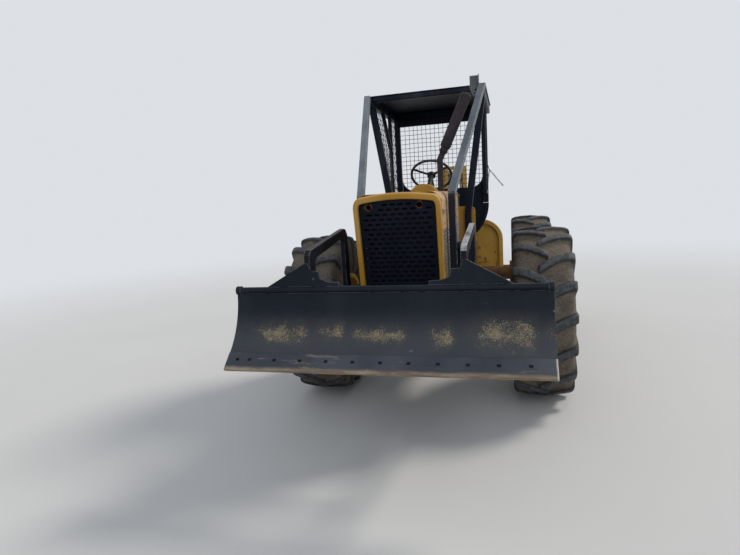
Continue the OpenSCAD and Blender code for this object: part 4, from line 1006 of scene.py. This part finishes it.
# The cutting edge is worn bare along its foot and at its left end
edge_paint, shader, place = begin("edge_paint")
side_in, up = place.part(0), place.part(2)
fine = grain(place, 60, 6, 0.65)
streak = grain(place, 16, 7, 0.7, (0.22, 1, 1.5), 0.3)
bare_low = (up + grain(place, 8, 5) * 0.020 - streak * 0.014).fade(0.838, 0.820)
bare_end = (side_in + grain(place, 9, 6, 0.7) * 0.008).fade(0.942, 0.951)
worked = side_in.fade(-0.52, -0.40) * side_in.fade(-0.12, -0.26)
scratch = (streak + worked * 0.10).fade(0.60, 0.66)
coat = tint(grain(place, 4, 5).fade(0.35, 0.68), (0.038, 0.042, 0.054), (0.060, 0.064, 0.075))
coat = tint(scratch * 0.7, coat, (0.19, 0.165, 0.13))
coat = tint(bare_low, coat, tint(streak.fade(0.4, 0.6), (0.30, 0.235, 0.165), (0.16, 0.11, 0.075)))
feed(shader, Base_Color=tint(bare_end, coat, (0.46, 0.43, 0.38)), Roughness=fine * 0.25 + 0.36,
     Metallic=bare_end * 0.3, Specular_IOR_Level=0.25, Normal=relief(fine + streak, 0.0014, 0.7))
curve_mid = at(0, -2.248, 1.246)
tilt = math.radians(-48)
outward = Vector((0, math.cos(tilt), math.sin(tilt)))
upward = Vector((0, -math.sin(tilt), math.cos(tilt)))
edge_half, edge_tall, edge_thick, edge_in, head_in = 0.95, 0.120, 0.020, 0.474, 0.488
hole_down, hole_half_wide, hole_half_tall = 0.048, 0.010625, 0.0085
bolt_holes = [-0.880] + [-0.800 + 0.1615 * k for k in range(11)]


def on_edge(u, v, out=edge_in + edge_thick / 2):
    """A place on the cutting edge, u across the blade, v up it and so far out from its curve's middle."""
    return curve_mid + Vector((u, 0, 0)) + outward * out + upward * v


edge_outline = [(-edge_half, -edge_tall), (edge_half, -edge_tall), (edge_half, 0), (-edge_half, 0)]
square_holes = [[(x + across_it * hole_half_wide, -hole_down + up_it * hole_half_tall)
                 for across_it, up_it in ((-1, -1), (1, -1), (1, 1), (-1, 1))] for x in bolt_holes]
cut_sheet("bolted_edge", edge_outline, square_holes, on_edge, edge_thick, edge_paint,
          *in_place_of("cutting_edge"), 0.002)
head_size = (0.024, 0.010, 0.019)
sunk_heads = [("box", on_edge(x, -hole_down, head_in), head_size, (tilt, 0, 0)) for x in bolt_holes]
piece_of("edge_bolt_heads", sunk_heads, 0.001, black_paint, body_of["cutting_edge"],
         slots["cutting_edge"])

# The left arm's upper faces are scraped to the metal
arm_paint, shader, place = begin("arm_paint")
fine, spots = grain(place, 46, 6, 0.62), grain(place, 15, 8, 0.68, twist=0.4)
left_arm = place.part(0).fade(-0.1, 0.1)
scraped = facing_part(2).fade(0.35, 0.7) * left_arm * grain(place, 12, 5, 0.6, (1, 0.3, 1)).fade(0.25, 0.5)
chipped = (spots + edge_wear(0.008) * 0.25).fade(0.66, 0.69)
coat = tint(fine.fade(0.35, 0.68), (0.0040, 0.0058, 0.0105), (0.0090, 0.0112, 0.0165))
coat = tint(chipped * 0.8, coat, (0.18, 0.17, 0.16))
metal = tint(fine.fade(0.4, 0.6), (0.36, 0.36, 0.37), (0.24, 0.23, 0.23))
feed(shader, Base_Color=tint(scraped, coat, metal), Roughness=fine * 0.2 + (scraped * 0.1 + 0.34),
     Specular_IOR_Level=0.12, Normal=relief(fine * 0.3 - chipped * 0.6, 0.0010, 0.6))
pin_y, pin_z, pin_bore_r, pin_end = -0.30, 0.64, 0.0383, 0.4995
eased("blade_arms", arm_paint, 0.005, bore=(pin_y - mid_y, pin_z, pin_bore_r))
for name, side in (("left", 1), ("right", -1)):
    pin_nut = [at(side * pin_end, pin_y, pin_z)]
    put_bolts("arm_pin_nut_" + name, pin_nut, (side, 0, 0), 0.050, 0.018, "front", muddy_iron)


# Rear guard, arch and winch
# Yellow plate and bar, scraped and muddy: a dished guard ahead of the winch, an arch whose head
# holds the rollers, and a drum wound with wire rope.
for node, width in (("rear_guard", 0.012), ("arch", 0.005), ("winch_frame", 0.005), ("butt_plate", 0.006)):
    eased(node, rear_yellow, width, 3)
eased("fairlead_rollers", bare_steel, 0.004)
eased("winch_drum", muddy_iron, 0.004)
guard_holes = ((0.362, 1.13), (0.362, 1.02), (0.430, 1.00))
guard_bolts = [at(side * x, 1.630, z) for side in (-1, 1) for x, z in guard_holes]
put_bolts("guard_bolts", guard_bolts, (0, -1, 0), 0.022, 0.014, "rear", muddy_iron)
winch_y, winch_z, bolt_ring_r = 2.030 - mid_y, 1.300, 0.165
for name, side in (("left", 1), ("right", -1)):
    cheek_bolts = [at(side * 0.125, y, z) for z in (1.80, 2.07) for y in (2.76, 2.82)]
    put_bolts("roller_bolts_" + name, cheek_bolts, (side, 0, 0), 0.022, 0.012, "rear", muddy_iron)
    winch_bolts = circle(side * 0.210, winch_y, winch_z, bolt_ring_r, 8)
    put_bolts("winch_bolts_" + name, winch_bolts, (side, 0, 0), 0.018, 0.010, "rear", muddy_iron)
rope_steel, shader, place = begin("rope_steel")
twist = Wire.node("TexWave", {"bands_direction": "DIAGONAL"},
                  {"Vector": place, "Scale": 90, "Distortion": 1.5, "Detail": 2}, "Fac")
rusty = grain(place, 20, 5).fade(0.4, 0.65)
feed(shader, Base_Color=tint(rusty, (0.075, 0.068, 0.060), (0.13, 0.085, 0.055)), Metallic=0.4,
     Roughness=grain(place, 50, 4) * 0.3 + 0.4, Normal=relief(twist, 0.0015, 0.8))
# Two layers of turns, the upper one a turn shorter and wound the other way
rope_r, rope_pitch, rope_turns, turn_steps = 0.008, 0.0172, 15, 22
wound = []
for radius, turns, way in ((0.1475, rope_turns, 1), (0.1615, rope_turns - 1, -1)):
    route = []
    for k in range(turns * turn_steps):
        a = 2 * math.pi * k / turn_steps
        x = (k / turn_steps - turns / 2) * rope_pitch
        route.append((x * way, winch_y + radius * math.cos(a), winch_z + radius * math.sin(a)))
    wound.append(route)
tubes("wound_rope", wound, rope_r, rope_steel, "drum", slots["winch_drum"])
